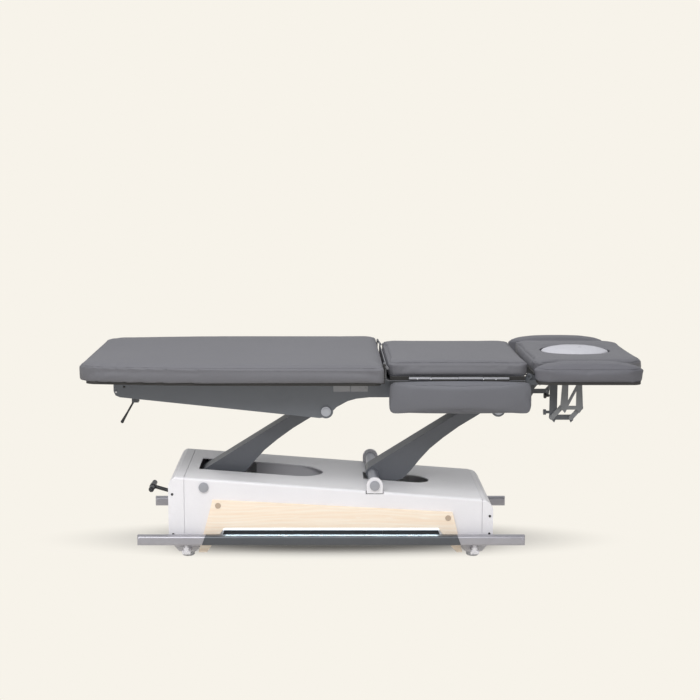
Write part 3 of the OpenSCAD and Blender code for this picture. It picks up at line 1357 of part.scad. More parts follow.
module arm_carrier() {
    p = [link_x + link_dx2, link_z + link_dz2];
    q = p + [link_pitch, 0];
    over = carrier_y - head_link_y - link_t;
    along_y(-carrier_y - carrier_t, -carrier_y) {
        bar_2d(p, q, link_w * 2 / 3 + eye_proud);
        polygon([[p[0], rest_board_z], [p[0] + post_w, rest_board_z], [p[0] + post_w, p[1]],
            [p[0] + post_w / 2, p[1] - hanger_tip], [p[0] - link_w / 3, p[1]]]);
        polygon([[q[0] - link_w, rest_board_z], [q[0], rest_board_z], [q[0] + link_w / 3, q[1]],
            [q[0] - link_w / 3, q[1] - hanger_tip], [q[0] - link_w, q[1]]]);
        bar_2d([q[0] - link_w / 2, rest_board_z - link_w / 2], p + [link_w, link_w / 2], link_w / 2);
    }
    pin_y(p[0], p[1], link_pin_r, -carrier_y - carrier_t - over, -link_y);
    pin_y(q[0], q[1], link_pin_r, -carrier_y - carrier_t - over, -head_link_y);
    translate([0, 0, rest_board_z - e]) linear_extrude(rest_board_t + e)
        translate([(rest_x0 + rest_x1) / 2, -(rest_y0 + rest_y1) / 2])
            rounded(rest_x1 - rest_x0 - 2 * rest_in, rest_w - 2 * rest_in, rest_r - rest_in);
}
module rest_pad() translate([0, -(rest_y0 + rest_y1) / 2, 0]) cushion(oblong(rest_x0, rest_x1, rest_w,
    rest_r, rest_r, 5), rest_x0 + rest_w / 2, rest_x1 - rest_w / 2, rest_board_z + rest_board_t,
    rest_seam_z, pad_tuck, pad_soft, rest_crown);
module clamp_knob() {
    pin_x(-knob_y, knob_z, knob_r, knob_x0, knob_x1);
    pin_x(-knob_y, knob_z, knob_r / 2, knob_x1 - e, link_x - link_w / 2 - seat);
}
module near_clamp_knob() color("#1f1e1d") clamp_knob();
module far_clamp_knob() color("#1f1e1d") far_copy() clamp_knob();
module near_foot_link() arm_link(0);
module near_head_link() arm_link(1);
module near_arm_carrier() color("#7c7f85") arm_carrier();
module near_arm_pad() color("#8d8d95") rest_pad();
module far_foot_link() far_copy() arm_link(0);
module far_head_link() far_copy() arm_link(1);
module far_arm_carrier() color("#7c7f85") far_copy() arm_carrier();
module far_arm_pad() color("#8d8d95") far_copy() rest_pad();

base_casing();
foot_end_cap();
head_end_cap();
near_side_panel();
far_side_panel();
light_strips();
panel_screw_covers();
casing_screws();
chassis();
foot_beams();
levelling_feet();
axle_ears();
lower_axles();
arm_trough();
service_cap();
control_box();
near_foot_bar();
near_bar_ends();
far_foot_bar();
far_bar_ends();
castor_pedal();
castor_push_rod();
foot_castor_shaft();
head_castor_shaft();
foot_castor_wheels();
head_castor_wheels();
foot_lift_arm();
head_lift_arm();
actuator_tube();
actuator_rod();
near_side_rail();
far_side_rail();
upper_cross_tubes();
upper_axles();
label_plates();
release_lever();
gas_spring_tube();
gas_spring_rod();
leg_board();
leg_pad();
mid_tray();
mid_pad();
wing_hinge_rails();
near_wing_board();
near_wing_pad();
far_wing_board();
far_wing_pad();
head_frame();
head_pad();
face_plug();
near_clamp_knob();
far_clamp_knob();
near_foot_link();
near_head_link();
near_arm_carrier();
near_arm_pad();
far_foot_link();
far_head_link();
far_arm_carrier();
far_arm_pad();
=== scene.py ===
import math

import bmesh
import bpy
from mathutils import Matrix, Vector


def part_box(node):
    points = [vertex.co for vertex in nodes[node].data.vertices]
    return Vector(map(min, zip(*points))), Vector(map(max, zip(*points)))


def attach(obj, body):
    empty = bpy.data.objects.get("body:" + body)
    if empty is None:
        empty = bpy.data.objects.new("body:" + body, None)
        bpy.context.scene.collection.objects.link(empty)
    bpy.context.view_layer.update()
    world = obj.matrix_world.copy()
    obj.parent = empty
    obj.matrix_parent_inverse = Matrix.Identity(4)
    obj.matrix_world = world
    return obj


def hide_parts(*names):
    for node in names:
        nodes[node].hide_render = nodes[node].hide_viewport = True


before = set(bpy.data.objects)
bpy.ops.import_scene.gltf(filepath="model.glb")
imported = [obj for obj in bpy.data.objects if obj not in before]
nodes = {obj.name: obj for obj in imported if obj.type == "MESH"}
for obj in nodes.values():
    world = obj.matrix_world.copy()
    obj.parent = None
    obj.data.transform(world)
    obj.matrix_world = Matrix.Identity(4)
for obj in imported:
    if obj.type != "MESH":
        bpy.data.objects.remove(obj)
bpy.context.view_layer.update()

# The room: a pale sweep of floor that runs into a pale wall, under large soft
# lamps. The camera has a long lens and stands a little above the cushions.
bpy.context.scene.view_settings.view_transform = "Standard"
camera = bpy.data.objects.new("camera", bpy.data.cameras.new("camera"))
bpy.context.scene.collection.objects.link(camera)
bpy.context.scene.camera = camera
camera.location = (-0.146, -5.068, 1.484)
camera.rotation_euler = (math.radians(90 - 8.4755), 0, 0)
camera.data.sensor_width = 36
camera.data.lens = 1369 / 700 * 36
camera.data.shift_x = 27.6 / 700
camera.data.clip_end = 500


def paint(red, green, blue):
    """A colour as it looks on paper, in the linear values that a shader takes."""
    values = [value / 255 for value in (red, green, blue)]
    return (*[v / 12.92 if v <= 0.04045 else ((v + 0.055) / 1.055) ** 2.4 for v in values], 1.0)


class Signal:
    """One socket of a material's tree. A sum or product written on it adds its Math node."""

    def __init__(self, tree, socket):
        self.tree = tree
        self.socket = socket

    def node(self, kind, settings, sockets, out=0):
        made = self.tree.nodes.new(kind)
        for name, value in settings.items():
            setattr(made, name, value)
        for name, value in sockets.items():
            if isinstance(value, Signal):
                self.tree.links.new(value.socket, made.inputs[name])
            else:
                made.inputs[name].default_value = value
        return Signal(self.tree, made.outputs[out])

    def math(self, operation, first, second):
        return self.node("ShaderNodeMath", {"operation": operation}, {0: first, 1: second})

    def __add__(self, other):
        return self.math("ADD", self, other)

    __radd__ = __add__

    def __sub__(self, other):
        return self.math("SUBTRACT", self, other)

    def __rsub__(self, other):
        return self.math("SUBTRACT", other, self)

    def __mul__(self, other):
        return self.math("MULTIPLY", self, other)

    __rmul__ = __mul__

    def between(self, low, high):
        """0 below low, 1 above high, and a soft rise between them."""
        return self.node("ShaderNodeMapRange", {"interpolation_type": "SMOOTHSTEP"},
                         {"Value": self, "From Min": low, "From Max": high})

    def tint(self, zero, one):
        """The first colour where this is 0, and the second where it is 1."""
        return self.node("ShaderNodeMix", {"data_type": "RGBA"}, {0: self, 6: zero, 7: one}, out=2)

    def grain(self, scale, detail=2.0, stretch=(1, 1, 1), rough=0.5):
        """Cloudy noise on stretched coordinates, in features per metre."""
        spread = self.node("ShaderNodeMapping", {}, {"Vector": self, "Scale": stretch})
        return self.node("ShaderNodeTexNoise", {},
                         {"Vector": spread, "Scale": scale, "Detail": detail, "Roughness": rough})


def new_finish(name):
    """A new material, its shader, and the object coordinates as a Signal."""
    material = bpy.data.materials.new(name)
    material.use_nodes = True
    tree = material.node_tree
    place = tree.nodes.new("ShaderNodeTexCoord")
    return material, tree.nodes["Principled BSDF"], Signal(tree, place.outputs["Object"])


def set_shader(shader, values):
    """Sets the shader's sockets to numbers and colours, or links them to Signals."""
    for name, value in values.items():
        if isinstance(value, Signal):
            value.tree.links.new(value.socket, shader.inputs[name])
        else:
            shader.inputs[name].default_value = value


page = paint(247, 243, 234)


def room_light():
    """World light for the object, and the page colour where the camera or a gloss sees past the floor."""
    world = bpy.data.worlds.new("room")
    bpy.context.scene.world = world
    world.use_nodes = True
    tree = world.node_tree
    light = Signal(tree, tree.nodes["Background"].outputs[0])
    tree.nodes["Background"].inputs[0].default_value = (1, 1, 1, 1)
    tree.nodes["Background"].inputs[1].default_value = 0.58
    rays = tree.nodes.new("ShaderNodeLightPath")
    seen = Signal(tree, rays.outputs["Is Camera Ray"])
    seen = seen.math("MAXIMUM", seen, Signal(tree, rays.outputs["Is Transmission Ray"]))
    wall = seen.node("ShaderNodeBackground", {}, {0: page, 1: 1.0})
    both = seen.node("ShaderNodeMixShader", {}, {0: seen, 1: light, 2: wall})
    tree.links.new(both.socket, tree.nodes["World Output"].inputs[0])


def lamp(name, place, aim, size, power, colour=(1, 1, 1)):
    """One soft lamp with a plain face, aimed at a point of the table."""
    made = bpy.data.objects.new(name, bpy.data.lights.new(name, "AREA"))
    bpy.context.scene.collection.objects.link(made)
    made.data.shape = "RECTANGLE"
    made.data.size, made.data.size_y = size
    made.data.energy = power
    made.visible_camera = False
    made.data.color = colour
    made.location = place
    made.rotation_euler = (Vector(aim) - Vector(place)).to_track_quat("-Z", "Y").to_euler()


def floor_sweep():
    """The floor shades the object's shadow near it and fades into the page further out."""
    mesh = bpy.data.meshes.new("floor")
    edge = 300
    mesh.from_pydata([(-edge, -edge, 0), (edge, -edge, 0), (edge, edge, 0), (-edge, edge, 0)], [],
                     [(0, 1, 2, 3)])
    floor = bpy.data.objects.new("floor", mesh)
    bpy.context.scene.collection.objects.link(floor)
    material, shader, at = new_finish("floor_sweep")
    rays = material.node_tree.nodes.new("ShaderNodeLightPath")
    seen = Signal(at.tree, rays.outputs["Is Camera Ray"])
    shade = seen.tint(paint(221, 218, 212), paint(196, 193, 187))
    set_shader(shader, {"Base Color": shade, "Roughness": 0.9})
    seen = seen.math("MAXIMUM", seen, Signal(at.tree, rays.outputs["Is Glossy Ray"]))
    seen = seen.math("MAXIMUM", seen, Signal(at.tree, rays.outputs["Is Transmission Ray"]))
    under = at.node("ShaderNodeMapping", {}, {"Vector": at, "Location": (0.03, 0, 0), "Scale": (0.25, 1, 0)})
    away = at.node("ShaderNodeVectorMath", {"operation": "LENGTH"}, {0: under}, out=1)
    wall = at.node("ShaderNodeEmission", {}, {"Color": page, "Strength": 1.0})
    lit = Signal(at.tree, shader.outputs[0])
    faded = seen * (away.between(0.10, 0.29) * 0.90 + 0.10)
    both = at.node("ShaderNodeMixShader", {}, {0: faded, 1: lit, 2: wall})
    at.tree.links.new(both.socket, at.tree.nodes["Material Output"].inputs[0])
    mesh.materials.append(material)


room_light()
floor_sweep()
lamp("top_lamp", (-0.6, -0.6, 3.4), (0, 0, 0.5), (4.5, 3.5), 46)
lamp("front_lamp", (-1.0, -3.3, 3.7), (0, 0, 0.3), (3.2, 2.4), 126)
lamp("rear_lamp", (1.2, 3.8, 2.6), (0, 0, 0.4), (3.5, 2.0), 6)

# The two floor beams: folded steel boxes across the base, powder coated light
# grey, each standing on a pair of moulded screw feet with a turned foot plate.


def crisp(names, width, angle=30):
    """Welds a CAD solid's triangles and breaks its edges, as sheet and castings are broken."""
    for name in names:
        for face in nodes[name].data.polygons:
            face.use_smooth = True
        weld = nodes[name].modifiers.new("weld", "WELD")
        weld.merge_threshold = 0.00002
        faces = nodes[name].modifiers.new("faces", "DECIMATE")
        faces.decimate_type = "DISSOLVE"
        faces.angle_limit = math.radians(0.4)
        edge = nodes[name].modifiers.new("edge", "BEVEL")
        edge.width = width
        edge.segments = 2
        edge.limit_method = "ANGLE"
        edge.angle_limit = math.radians(angle)
        edge.use_clamp_overlap = True
        edge.miter_outer = "MITER_ARC"
        shade = nodes[name].modifiers.new("shade", "WEIGHTED_NORMAL")
        shade.keep_sharp = True
        shade.weight = 80


def dress(material, *names):
    """Gives CAD nodes this material in place of their plain one."""
    for name in names:
        nodes[name].data.materials.clear()
        nodes[name].data.materials.append(material)


def dress_faces(material, inside, *names):
    """Gives this material only to the faces that pass a test."""
    for name in names:
        mesh = nodes[name].data
        mesh.materials.append(material)
        for face in mesh.polygons:
            if inside(face):
                face.material_index = len(mesh.materials) - 1


def powder_coat(name, colour, deep, roughness=0.42, peel=0.10):
    """Satin powder coat on steel: a fine orange peel, faint clouding, and dust low on the sides."""
    material, shader, at = new_finish(name)
    cloud = at.grain(5.0, 3.0)
    speck = at.grain(260.0, 2.0)
    height = at.node("ShaderNodeSeparateXYZ", {}, {0: at}, out=2)
    dust = 1 - height.between(0.02, 0.16)
    shade = cloud * 0.55 + speck * 0.25 + dust * 0.20
    skin = at.grain(620.0, 1.0) + at.grain(1500.0, 1.0) * 0.35
    bump = at.node("ShaderNodeBump", {}, {"Height": skin, "Strength": peel, "Distance": 0.0004})
    set_shader(shader, {
        "Base Color": shade.tint(colour, deep),
        "Roughness": roughness - 0.05 + cloud * 0.10 + dust * 0.04,
        "Normal": bump,
        "Specular IOR Level": 0.45,
    })
    return material


def moulded(name, colour, deep, roughness=0.5):
    """Moulded plastic with a spark-eroded texture and slightly polished high spots."""
    material, shader, at = new_finish(name)
    pits = at.node("ShaderNodeTexVoronoi", {"feature": "SMOOTH_F1"}, {"Vector": at, "Scale": 1100.0})
    cloud = at.grain(30.0, 2.0)
    bump = at.node("ShaderNodeBump", {}, {"Height": pits, "Strength": 0.18, "Distance": 0.0003})
    set_shader(shader, {
        "Base Color": cloud.tint(deep, colour),
        "Roughness": roughness - 0.06 + cloud * 0.12,
        "Normal": bump,
    })
    return material


dress(powder_coat("beam_coat", paint(228, 227, 231), paint(206, 204, 207)), "foot_beams")
dress(moulded("foot_moulding", paint(232, 232, 235), paint(214, 214, 218)), "levelling_feet")
crisp(["foot_beams", "levelling_feet"], 0.0012)

# The chassis: welded steel tube in satin grey, inside the casing. It carries
# the uprights of the lift, the shaft blocks of the castors and the control box.

dark_coat = powder_coat("chassis_coat", paint(88, 91, 96), paint(72, 74, 79))
dress(dark_coat, "chassis")
crisp(["chassis"], 0.0008)
dress(moulded("control_moulding", paint(44, 45, 48), paint(34, 35, 37)), "control_box")
crisp(["control_box"], 0.0012)

# The castor gear: a pedal at the foot end, a flat push rod and two shafts of
# zinc-plated steel, which press the rubber-tyred castors down to the floor.


def zinc(name):
    """Zinc plate: small frosty patches on steel, a little blue, with fine draw lines."""
    material, shader, at = new_finish(name)
    patch = at.node("ShaderNodeTexVoronoi", {"feature": "F1"}, {"Vector": at, "Scale": 210.0}, out=1)
    tone = patch.node("ShaderNodeSeparateColor", {}, {0: patch})
    lines = at.grain(90.0, 2.0, (1, 9, 9))
    bump = at.node("ShaderNodeBump", {}, {"Height": lines, "Strength": 0.10, "Distance": 0.0003})
    set_shader(shader, {
        "Base Color": (tone * 0.6 + lines * 0.4).tint(paint(150, 152, 158), paint(186, 188, 193)),
        "Metallic": 1.0,
        "Roughness": 0.30 + tone * 0.16,
        "Normal": bump,
    })
    return material


dress(zinc("zinc_plate"), "castor_push_rod", "foot_castor_shaft", "head_castor_shaft")
dress(moulded("castor_tyre", paint(66, 67, 70), paint(50, 51, 54), 0.62),
      "foot_castor_wheels", "head_castor_wheels")
dress(powder_coat("pedal_coat", paint(52, 53, 56), paint(38, 39, 41), 0.36), "castor_pedal")
crisp(["castor_push_rod", "foot_castor_shaft", "head_castor_shaft"], 0.0005)
crisp(["foot_castor_wheels", "head_castor_wheels", "castor_pedal"], 0.0012)

# The casing: bent sheet steel with a falling top, closed by a bent cap at each
# end, all powder coated white. Eared covers stand over the head-side axle.

white_coat = powder_coat("casing_coat", paint(239, 238, 242), paint(224, 222, 226), 0.38, 0.07)
dress(white_coat, "base_casing", "foot_end_cap", "head_end_cap", "axle_ears", "service_cap")
dress_faces(dark_coat, lambda face: face.center.z < 0.215, "axle_ears")
# The upward faces of the casing, the end caps and the service cap take a whiter copy of the white coat:
# painted light, lifting the tops that lie in the cushions' shade.
painted_light_top_coat = powder_coat("casing_top_painted_light", paint(253, 252, 254), paint(246, 245, 248), 0.38, 0.07)
dress_faces(painted_light_top_coat, lambda face: face.normal.z > 0.9, "base_casing", "foot_end_cap", "head_end_cap",
            "service_cap")
crisp(["base_casing", "axle_ears"], 0.0010)
crisp(["foot_end_cap", "head_end_cap"], 0.0016)
dress(powder_coat("trough_coat", paint(206, 205, 209), paint(190, 189, 193)), "arm_trough")
crisp(["arm_trough", "service_cap"], 0.0006)


def machined(name, light, deep, stretch=(1, 1, 1), lines=260.0, roughness=0.34):
    """Satin aluminium with fine draw lines along the part, and faint clouding."""
    material, shader, at = new_finish(name)
    draw = at.grain(lines, 3.0, stretch, 0.6)
    cloud = at.grain(18.0, 2.0)
    bump = at.node("ShaderNodeBump", {}, {"Height": draw, "Strength": 0.12, "Distance": 0.0002})
    set_shader(shader, {
        "Base Color": (draw * 0.5 + cloud * 0.5).tint(deep, light),
        "Metallic": 0.55,
        "Roughness": roughness + draw * 0.10,
        "Normal": bump,
    })
    return material


dress(machined("axle_cap", paint(176, 178, 187), paint(158, 160, 168)), "lower_axles")
# The upper axle caps take a lighter copy of the lower caps' aluminium: painted light.
dress(machined("upper_axle_cap_painted_light", paint(196, 200, 210), paint(178, 181, 190)), "upper_axles")
crisp(["lower_axles", "upper_axles"], 0.0012)
dress(machined("dark_screw", paint(66, 66, 69), paint(48, 48, 50)), "casing_screws")

# The two side panels: solid pale oak boards with a shallow arch cut for the
# foot bar, oiled and sanded, each held by two screws under tan wooden covers.


def oak(name):
    """Pale oiled oak with its grain along the table: soft cathedral figure, streaks and open pores."""
    material, shader, at = new_finish(name)
    drift = at.grain(2.2, 2.0, (0.8, 1, 3.5))
    rise = at.node("ShaderNodeMapping", {}, {"Vector": at, "Scale": (0.55, 4.0, 9.0)})
    bent = at.node("ShaderNodeVectorMath", {"operation": "ADD"},
                   {0: rise, 1: (drift * 0.85).node("ShaderNodeCombineXYZ", {}, {2: drift * 0.85})})
    rings = at.node("ShaderNodeTexWave", {"wave_type": "BANDS", "bands_direction": "Z"},
                    {"Vector": bent, "Scale": 2.6, "Distortion": 5.0, "Detail": 3.0,
                     "Detail Scale": 1.4, "Detail Roughness": 0.6})
    streak = at.grain(16.0, 4.0, (0.16, 1, 4.0), 0.6)
    pore = at.grain(120.0, 2.0, (0.07, 1, 6.0), 0.7).between(0.60, 0.72)
    fleck = at.grain(60.0, 1.0, (0.25, 1, 1.6)).between(0.66, 0.74)
    tone = rings.between(0.1, 1.0) * 0.15 + streak * 0.98 - 0.05
    wood = tone.tint(paint(244, 217, 188), paint(253, 246, 234))
    wood = (pore * 0.34).tint(wood, paint(224, 188, 152))
    wood = (fleck * 0.30).tint(wood, paint(255, 249, 240))
    bump = at.node("ShaderNodeBump", {"invert": True}, {"Height": pore, "Strength": 0.22, "Distance": 0.0004})
    set_shader(shader, {
        "Base Color": wood,
        "Roughness": 0.50 + streak * 0.12,
        "Normal": bump,
        "Specular IOR Level": 0.35,
    })
    return material


dress(oak("oiled_oak"), "near_side_panel", "far_side_panel")
dress(moulded("cover_tan", paint(196, 176, 156), paint(178, 158, 139), 0.46), "panel_screw_covers")
crisp(["near_side_panel", "far_side_panel"], 0.0014)
crisp(["panel_screw_covers"], 0.0008)

# The light strips: a milky extrusion along each arch with a lamp strip behind
# it, which glows a cool white on the foot bar below.


def milky_light(name):
    """A milky cover, lit from behind, a little brighter where the lamps sit."""
    material, shader, at = new_finish(name)
    along = at.node("ShaderNodeSeparateXYZ", {}, {0: at}, out=0)
    lamps = at.node("ShaderNodeMath", {"operation": "SINE"}, {0: along * (2 * math.pi / 0.0333)})
    glow = (lamps * 0.5 + 0.5).tint(paint(206, 226, 240), paint(232, 244, 252))
    set_shader(shader, {
        "Base Color": at.grain(40.0).tint(paint(226, 232, 238), paint(240, 244, 248)),
        "Roughness": 0.35,
        "Emission Color": glow,
        "Emission Strength": 0.9,
    })
    return material


dress(milky_light("light_cover"), "light_strips")
strip_x = -0.114
for side in (-1, 1):
    lamp("strip_lamp", (strip_x, side * 0.256, 0.110), (strip_x, side * 0.284, 0.09), (0.77, 0.006), 0.50,
         (0.78, 0.95, 1.0))

# The foot bars: a long aluminium bar on each side with a lighter, rounded end
# piece at either end. Pressing one anywhere along it works the lift.

dress(machined("bar_dark", paint(96, 99, 104), paint(84, 87, 92), (0.12, 1, 1), 900.0, 0.40),
      "near_foot_bar", "far_foot_bar")
dress(machined("bar_light", paint(178, 177, 184), paint(160, 159, 166), (0.12, 1, 1), 900.0, 0.36),
      "near_bar_ends", "far_bar_ends")
crisp(["near_foot_bar", "far_foot_bar"], 0.0014)
crisp(["near_bar_ends", "far_bar_ends"], 0.0045, 60)

# The lift: two tapering box arms of welded plate, powder coated dark grey, one
# behind the other, and the actuator that turns the head-side arm by its crank.

arm_coat = powder_coat("arm_coat", paint(105, 108, 115), paint(91, 94, 100), 0.40, 0.12)
dress(arm_coat, "foot_lift_arm", "head_lift_arm")
crisp(["foot_lift_arm", "head_lift_arm"], 0.0014)
dress(moulded("actuator_moulding", paint(46, 47, 50), paint(36, 37, 39)), "actuator_tube")
crisp(["actuator_tube"], 0.0010)


def bright_rod(name):
    """Ground and chromed rod with a trace of fine turning."""
    material, shader, at = new_finish(name)
    turning = at.grain(1400.0, 1.0, (1, 0.2, 0.2))
    smear = at.grain(22.0, 2.0)
    set_shader(shader, {
        "Base Color": smear.tint(paint(206, 208, 212), paint(226, 228, 232)),
        "Metallic": 1.0,
        "Roughness": 0.12 + smear * 0.10 + turning * 0.04,
    })
    return material


dress(bright_rod("bright_rod"), "actuator_rod", "gas_spring_rod")

# The upper frame: two deep laser-cut side rails with cross tubes between them,
# powder coated grey. Two small bare plates are riveted on near the head end, and
# a button-head screw and a black plug sit in each rail's foot end.


def link(name, mesh):
    made = bpy.data.objects.new(name, mesh)
    bpy.context.scene.collection.objects.link(made)
    return made


def settled(piece):
    """Makes a piece with its modifiers into a plain mesh."""
    graph = bpy.context.evaluated_depsgraph_get()
    mesh = bpy.data.meshes.new_from_object(piece.evaluated_get(graph))
    piece.modifiers.clear()
    piece.data = mesh


def growth(name, inputs, kinds, links, values, settings):
    """A tree with named inputs. What comes to its node called real is made real, smooth and finished."""
    tree = bpy.data.node_groups.new(name, "GeometryNodeTree")
    tree.interface.new_socket("Given", in_out="INPUT", socket_type="NodeSocketGeometry")
    for socket, kind in inputs.items():
        tree.interface.new_socket(socket, in_out="INPUT", socket_type="NodeSocket" + kind)
    tree.interface.new_socket("Made", in_out="OUTPUT", socket_type="NodeSocketGeometry")
    ends = {"given": "NodeGroupInput", "real": "GeometryNodeRealizeInstances",
            "smooth": "GeometryNodeSetShadeSmooth", "finish": "GeometryNodeSetMaterial",
            "made": "NodeGroupOutput"}
    made = {place: tree.nodes.new(kind) for place, kind in {**ends, **kinds}.items()}
    for (place, socket), value in values.items():
        made[place].inputs[socket].default_value = value
    for (place, setting), value in settings.items():
        setattr(made[place], setting, value)
    for start, out, end, into in (*links, ("real", "Geometry", "smooth", "Geometry"),
                                  ("smooth", "Geometry", "finish", "Geometry"),
                                  ("given", "Finish", "finish", "Material"),
                                  ("finish", "Geometry", "made", "Made")):
        tree.links.new(made[start].outputs[out], made[end].inputs[into])
    return tree


def grown(name, points, tree, values, closed=True):
    """A closed line, or loose points, turned into a plain mesh by a tree, with its inputs set by name."""
    count = len(points)
    mesh = bpy.data.meshes.new(name)
    mesh.from_pydata(points, [(i, (i + 1) % count) for i in range(count)] if closed else [], [])
    piece = link(name, mesh)
    grow = piece.modifiers.new("grow", "NODES")
    grow.node_group = tree
    for socket in tree.interface.items_tree:
        if socket.in_out == "INPUT" and socket.name in values:
            grow[socket.identifier] = values[socket.name]
    settled(piece)
    return piece


def tied(piece, body):
    """The piece moves with a body."""
    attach(piece, body)


screws = growth("screw_heads", {"Radius": "Float", "Height": "Float", "Facing": "Vector",
                                "Finish": "Material"}, {
    "head": "GeometryNodeMeshCylinder", "dome": "GeometryNodeMeshUVSphere",
    "dome_size": "ShaderNodeCombineXYZ", "domed": "GeometryNodeTransform",
    "whole": "GeometryNodeJoinGeometry", "turn": "FunctionNodeAlignRotationToVector",
    "set": "GeometryNodeInstanceOnPoints"}, (
    ("given", "Radius", "head", "Radius"), ("given", "Height", "head", "Depth"),
    ("given", "Radius", "dome_size", "X"), ("given", "Radius", "dome_size", "Y"),
    ("given", "Height", "dome_size", "Z"), ("dome", "Mesh", "domed", "Geometry"),
    ("dome_size", "Vector", "domed", "Scale"), ("head", "Mesh", "whole", "Geometry"),
    ("domed", "Geometry", "whole", "Geometry"), ("given", "Facing", "turn", "Vector"),
    ("given", "Given", "set", "Points"), ("whole", "Geometry", "set", "Instance"),
    ("turn", "Rotation", "set", "Rotation"), ("set", "Instances", "real", "Geometry")),
    {("head", "Vertices"): 12, ("dome", "Segments"): 12, ("dome", "Rings"): 6, ("dome", "Radius"): 1.0},
    {("turn", "axis"): "Z"})


def screwed(name, places, facing, radius, material, body):
    """Sets screw heads at these places, standing out along facing, and ties them to a body."""
    heads = grown(name, places, screws, {"Radius": radius, "Height": radius * 0.5, "Facing": facing,
                                         "Finish": material}, closed=False)
    tied(heads, body)


rail_coat = powder_coat("rail_coat", paint(116, 120, 127), paint(101, 105, 112), 0.42, 0.12)
dress(rail_coat, "near_side_rail", "far_side_rail")
dress(dark_coat, "upper_cross_tubes", "head_frame")
crisp(["near_side_rail", "far_side_rail"], 0.0010)
crisp(["upper_cross_tubes", "head_frame"], 0.0007)
dress(machined("plate_silver", paint(150, 151, 156), paint(132, 133, 138), (0.1, 1, 1), 700.0),
      "label_plates")
dress(moulded("lever_moulding", paint(42, 42, 44), paint(32, 32, 34), 0.42), "release_lever")
dress(powder_coat("gas_coat", paint(42, 43, 46), paint(34, 35, 38), 0.30, 0.04), "gas_spring_tube")
crisp(["label_plates"], 0.0005)
bright_screw = machined("bright_screw", paint(226, 226, 230), paint(206, 206, 211))
rail_y = 0.235  # a rail's outer face
for side in (-1, 1):
    screwed("rail_screw", [(-0.886, side * rail_y, 0.612)], (0, side, 0), 0.0042, bright_screw,
            "upper_frame")
    screwed("rail_plug", [(-0.857, side * rail_y, 0.630)], (0, side, 0), 0.0045,
            bpy.data.materials["lever_moulding"], "upper_frame")

# The boards under the cushions: birch plywood stained dark, and the bent
# aluminium tray and hinge rails that carry the middle section and its wings.


def stained_ply(name):
    """Dark stained plywood: thin plies show on the edges, with a dry grain on the faces."""
    material, shader, at = new_finish(name)
    height = at.node("ShaderNodeSeparateXYZ", {}, {0: at}, out=2)
    plies = at.node("ShaderNodeMath", {"operation": "SINE"}, {0: height * (2 * math.pi / 0.0026)})
    fibre = at.grain(70.0, 3.0, (0.15, 1, 1), 0.6)
    tone = plies * 0.18 + fibre * 0.6 + 0.10
    bump = at.node("ShaderNodeBump", {}, {"Height": tone, "Strength": 0.25, "Distance": 0.0003})
    set_shader(shader, {
        "Base Color": tone.tint(paint(34, 33, 33), paint(62, 60, 59)),
        "Roughness": 0.58 + fibre * 0.14,
        "Normal": bump,
    })
    return material


dress(stained_ply("stained_ply"), "leg_board", "near_wing_board", "far_wing_board")
dress(machined("tray_sheet", paint(146, 147, 152), paint(128, 129, 134), (0.15, 1, 1), 500.0), "mid_tray")
hinge_metal = machined("hinge_rail", paint(150, 151, 156), paint(130, 131, 136), (0.1, 1, 1), 900.0)
dress(hinge_metal, "wing_hinge_rails")
hinge_y = 0.292
hinge_z = 0.6695


def on_knuckle(face):
    """The faces of a wing's knuckles, close round its hinge line and between the rails' ends."""
    beside = math.hypot(abs(face.center.y) - hinge_y, face.center.z - hinge_z)
    return beside < 0.0068 and 0.16 < face.center.x < 0.516


dress_faces(hinge_metal, on_knuckle, "near_wing_board", "far_wing_board")
for side in (-1, 1):
    places = [(x, side * 0.2972, 0.668) for x in (0.190, 0.238, 0.424, 0.468)]
    screwed("hinge_screw", places, (0, side, 0), 0.0024, bright_screw, "upper_frame")
dress_faces(bpy.data.materials["stained_ply"],
            lambda face: abs(face.center.y) > 0.2755 and face.center.z < 0.675, "mid_tray")
crisp(["leg_board"], 0.0012)
crisp(["mid_tray", "wing_hinge_rails", "near_wing_board", "far_wing_board"], 0.0006)

# The arm-rest linkages: laser-cut hangers, links and carriers in satin grey
# steel on shouldered pins, with black clamp knobs that lock their height.

dress(powder_coat("link_coat", paint(128, 130, 133), paint(108, 110, 113), 0.36),
      "near_foot_link", "near_head_link", "far_foot_link", "far_head_link",
      "near_arm_carrier", "far_arm_carrier")
# The carriers' top faces take the dark stained ply finish: painted shade, where the cushions above keep the
# plates' top edges dark.
dress_faces(bpy.data.materials["stained_ply"], lambda face: face.center.z > 0.660, "near_arm_carrier",
            "far_arm_carrier")
dress(moulded("knob_moulding", paint(36, 35, 35), paint(26, 26, 26), 0.40),
      "near_clamp_knob", "far_clamp_knob")
crisp(["near_foot_link", "near_head_link", "far_foot_link", "far_head_link",
       "near_arm_carrier", "far_arm_carrier"], 0.0006)
crisp(["near_clamp_knob", "far_clamp_knob"], 0.0012)

# The cushions: dense foam on a board under stretched grey leatherette, flat
# below, drawn in at the sides, with a welted seam round the top panel.
# The leg and mid cushions come first.


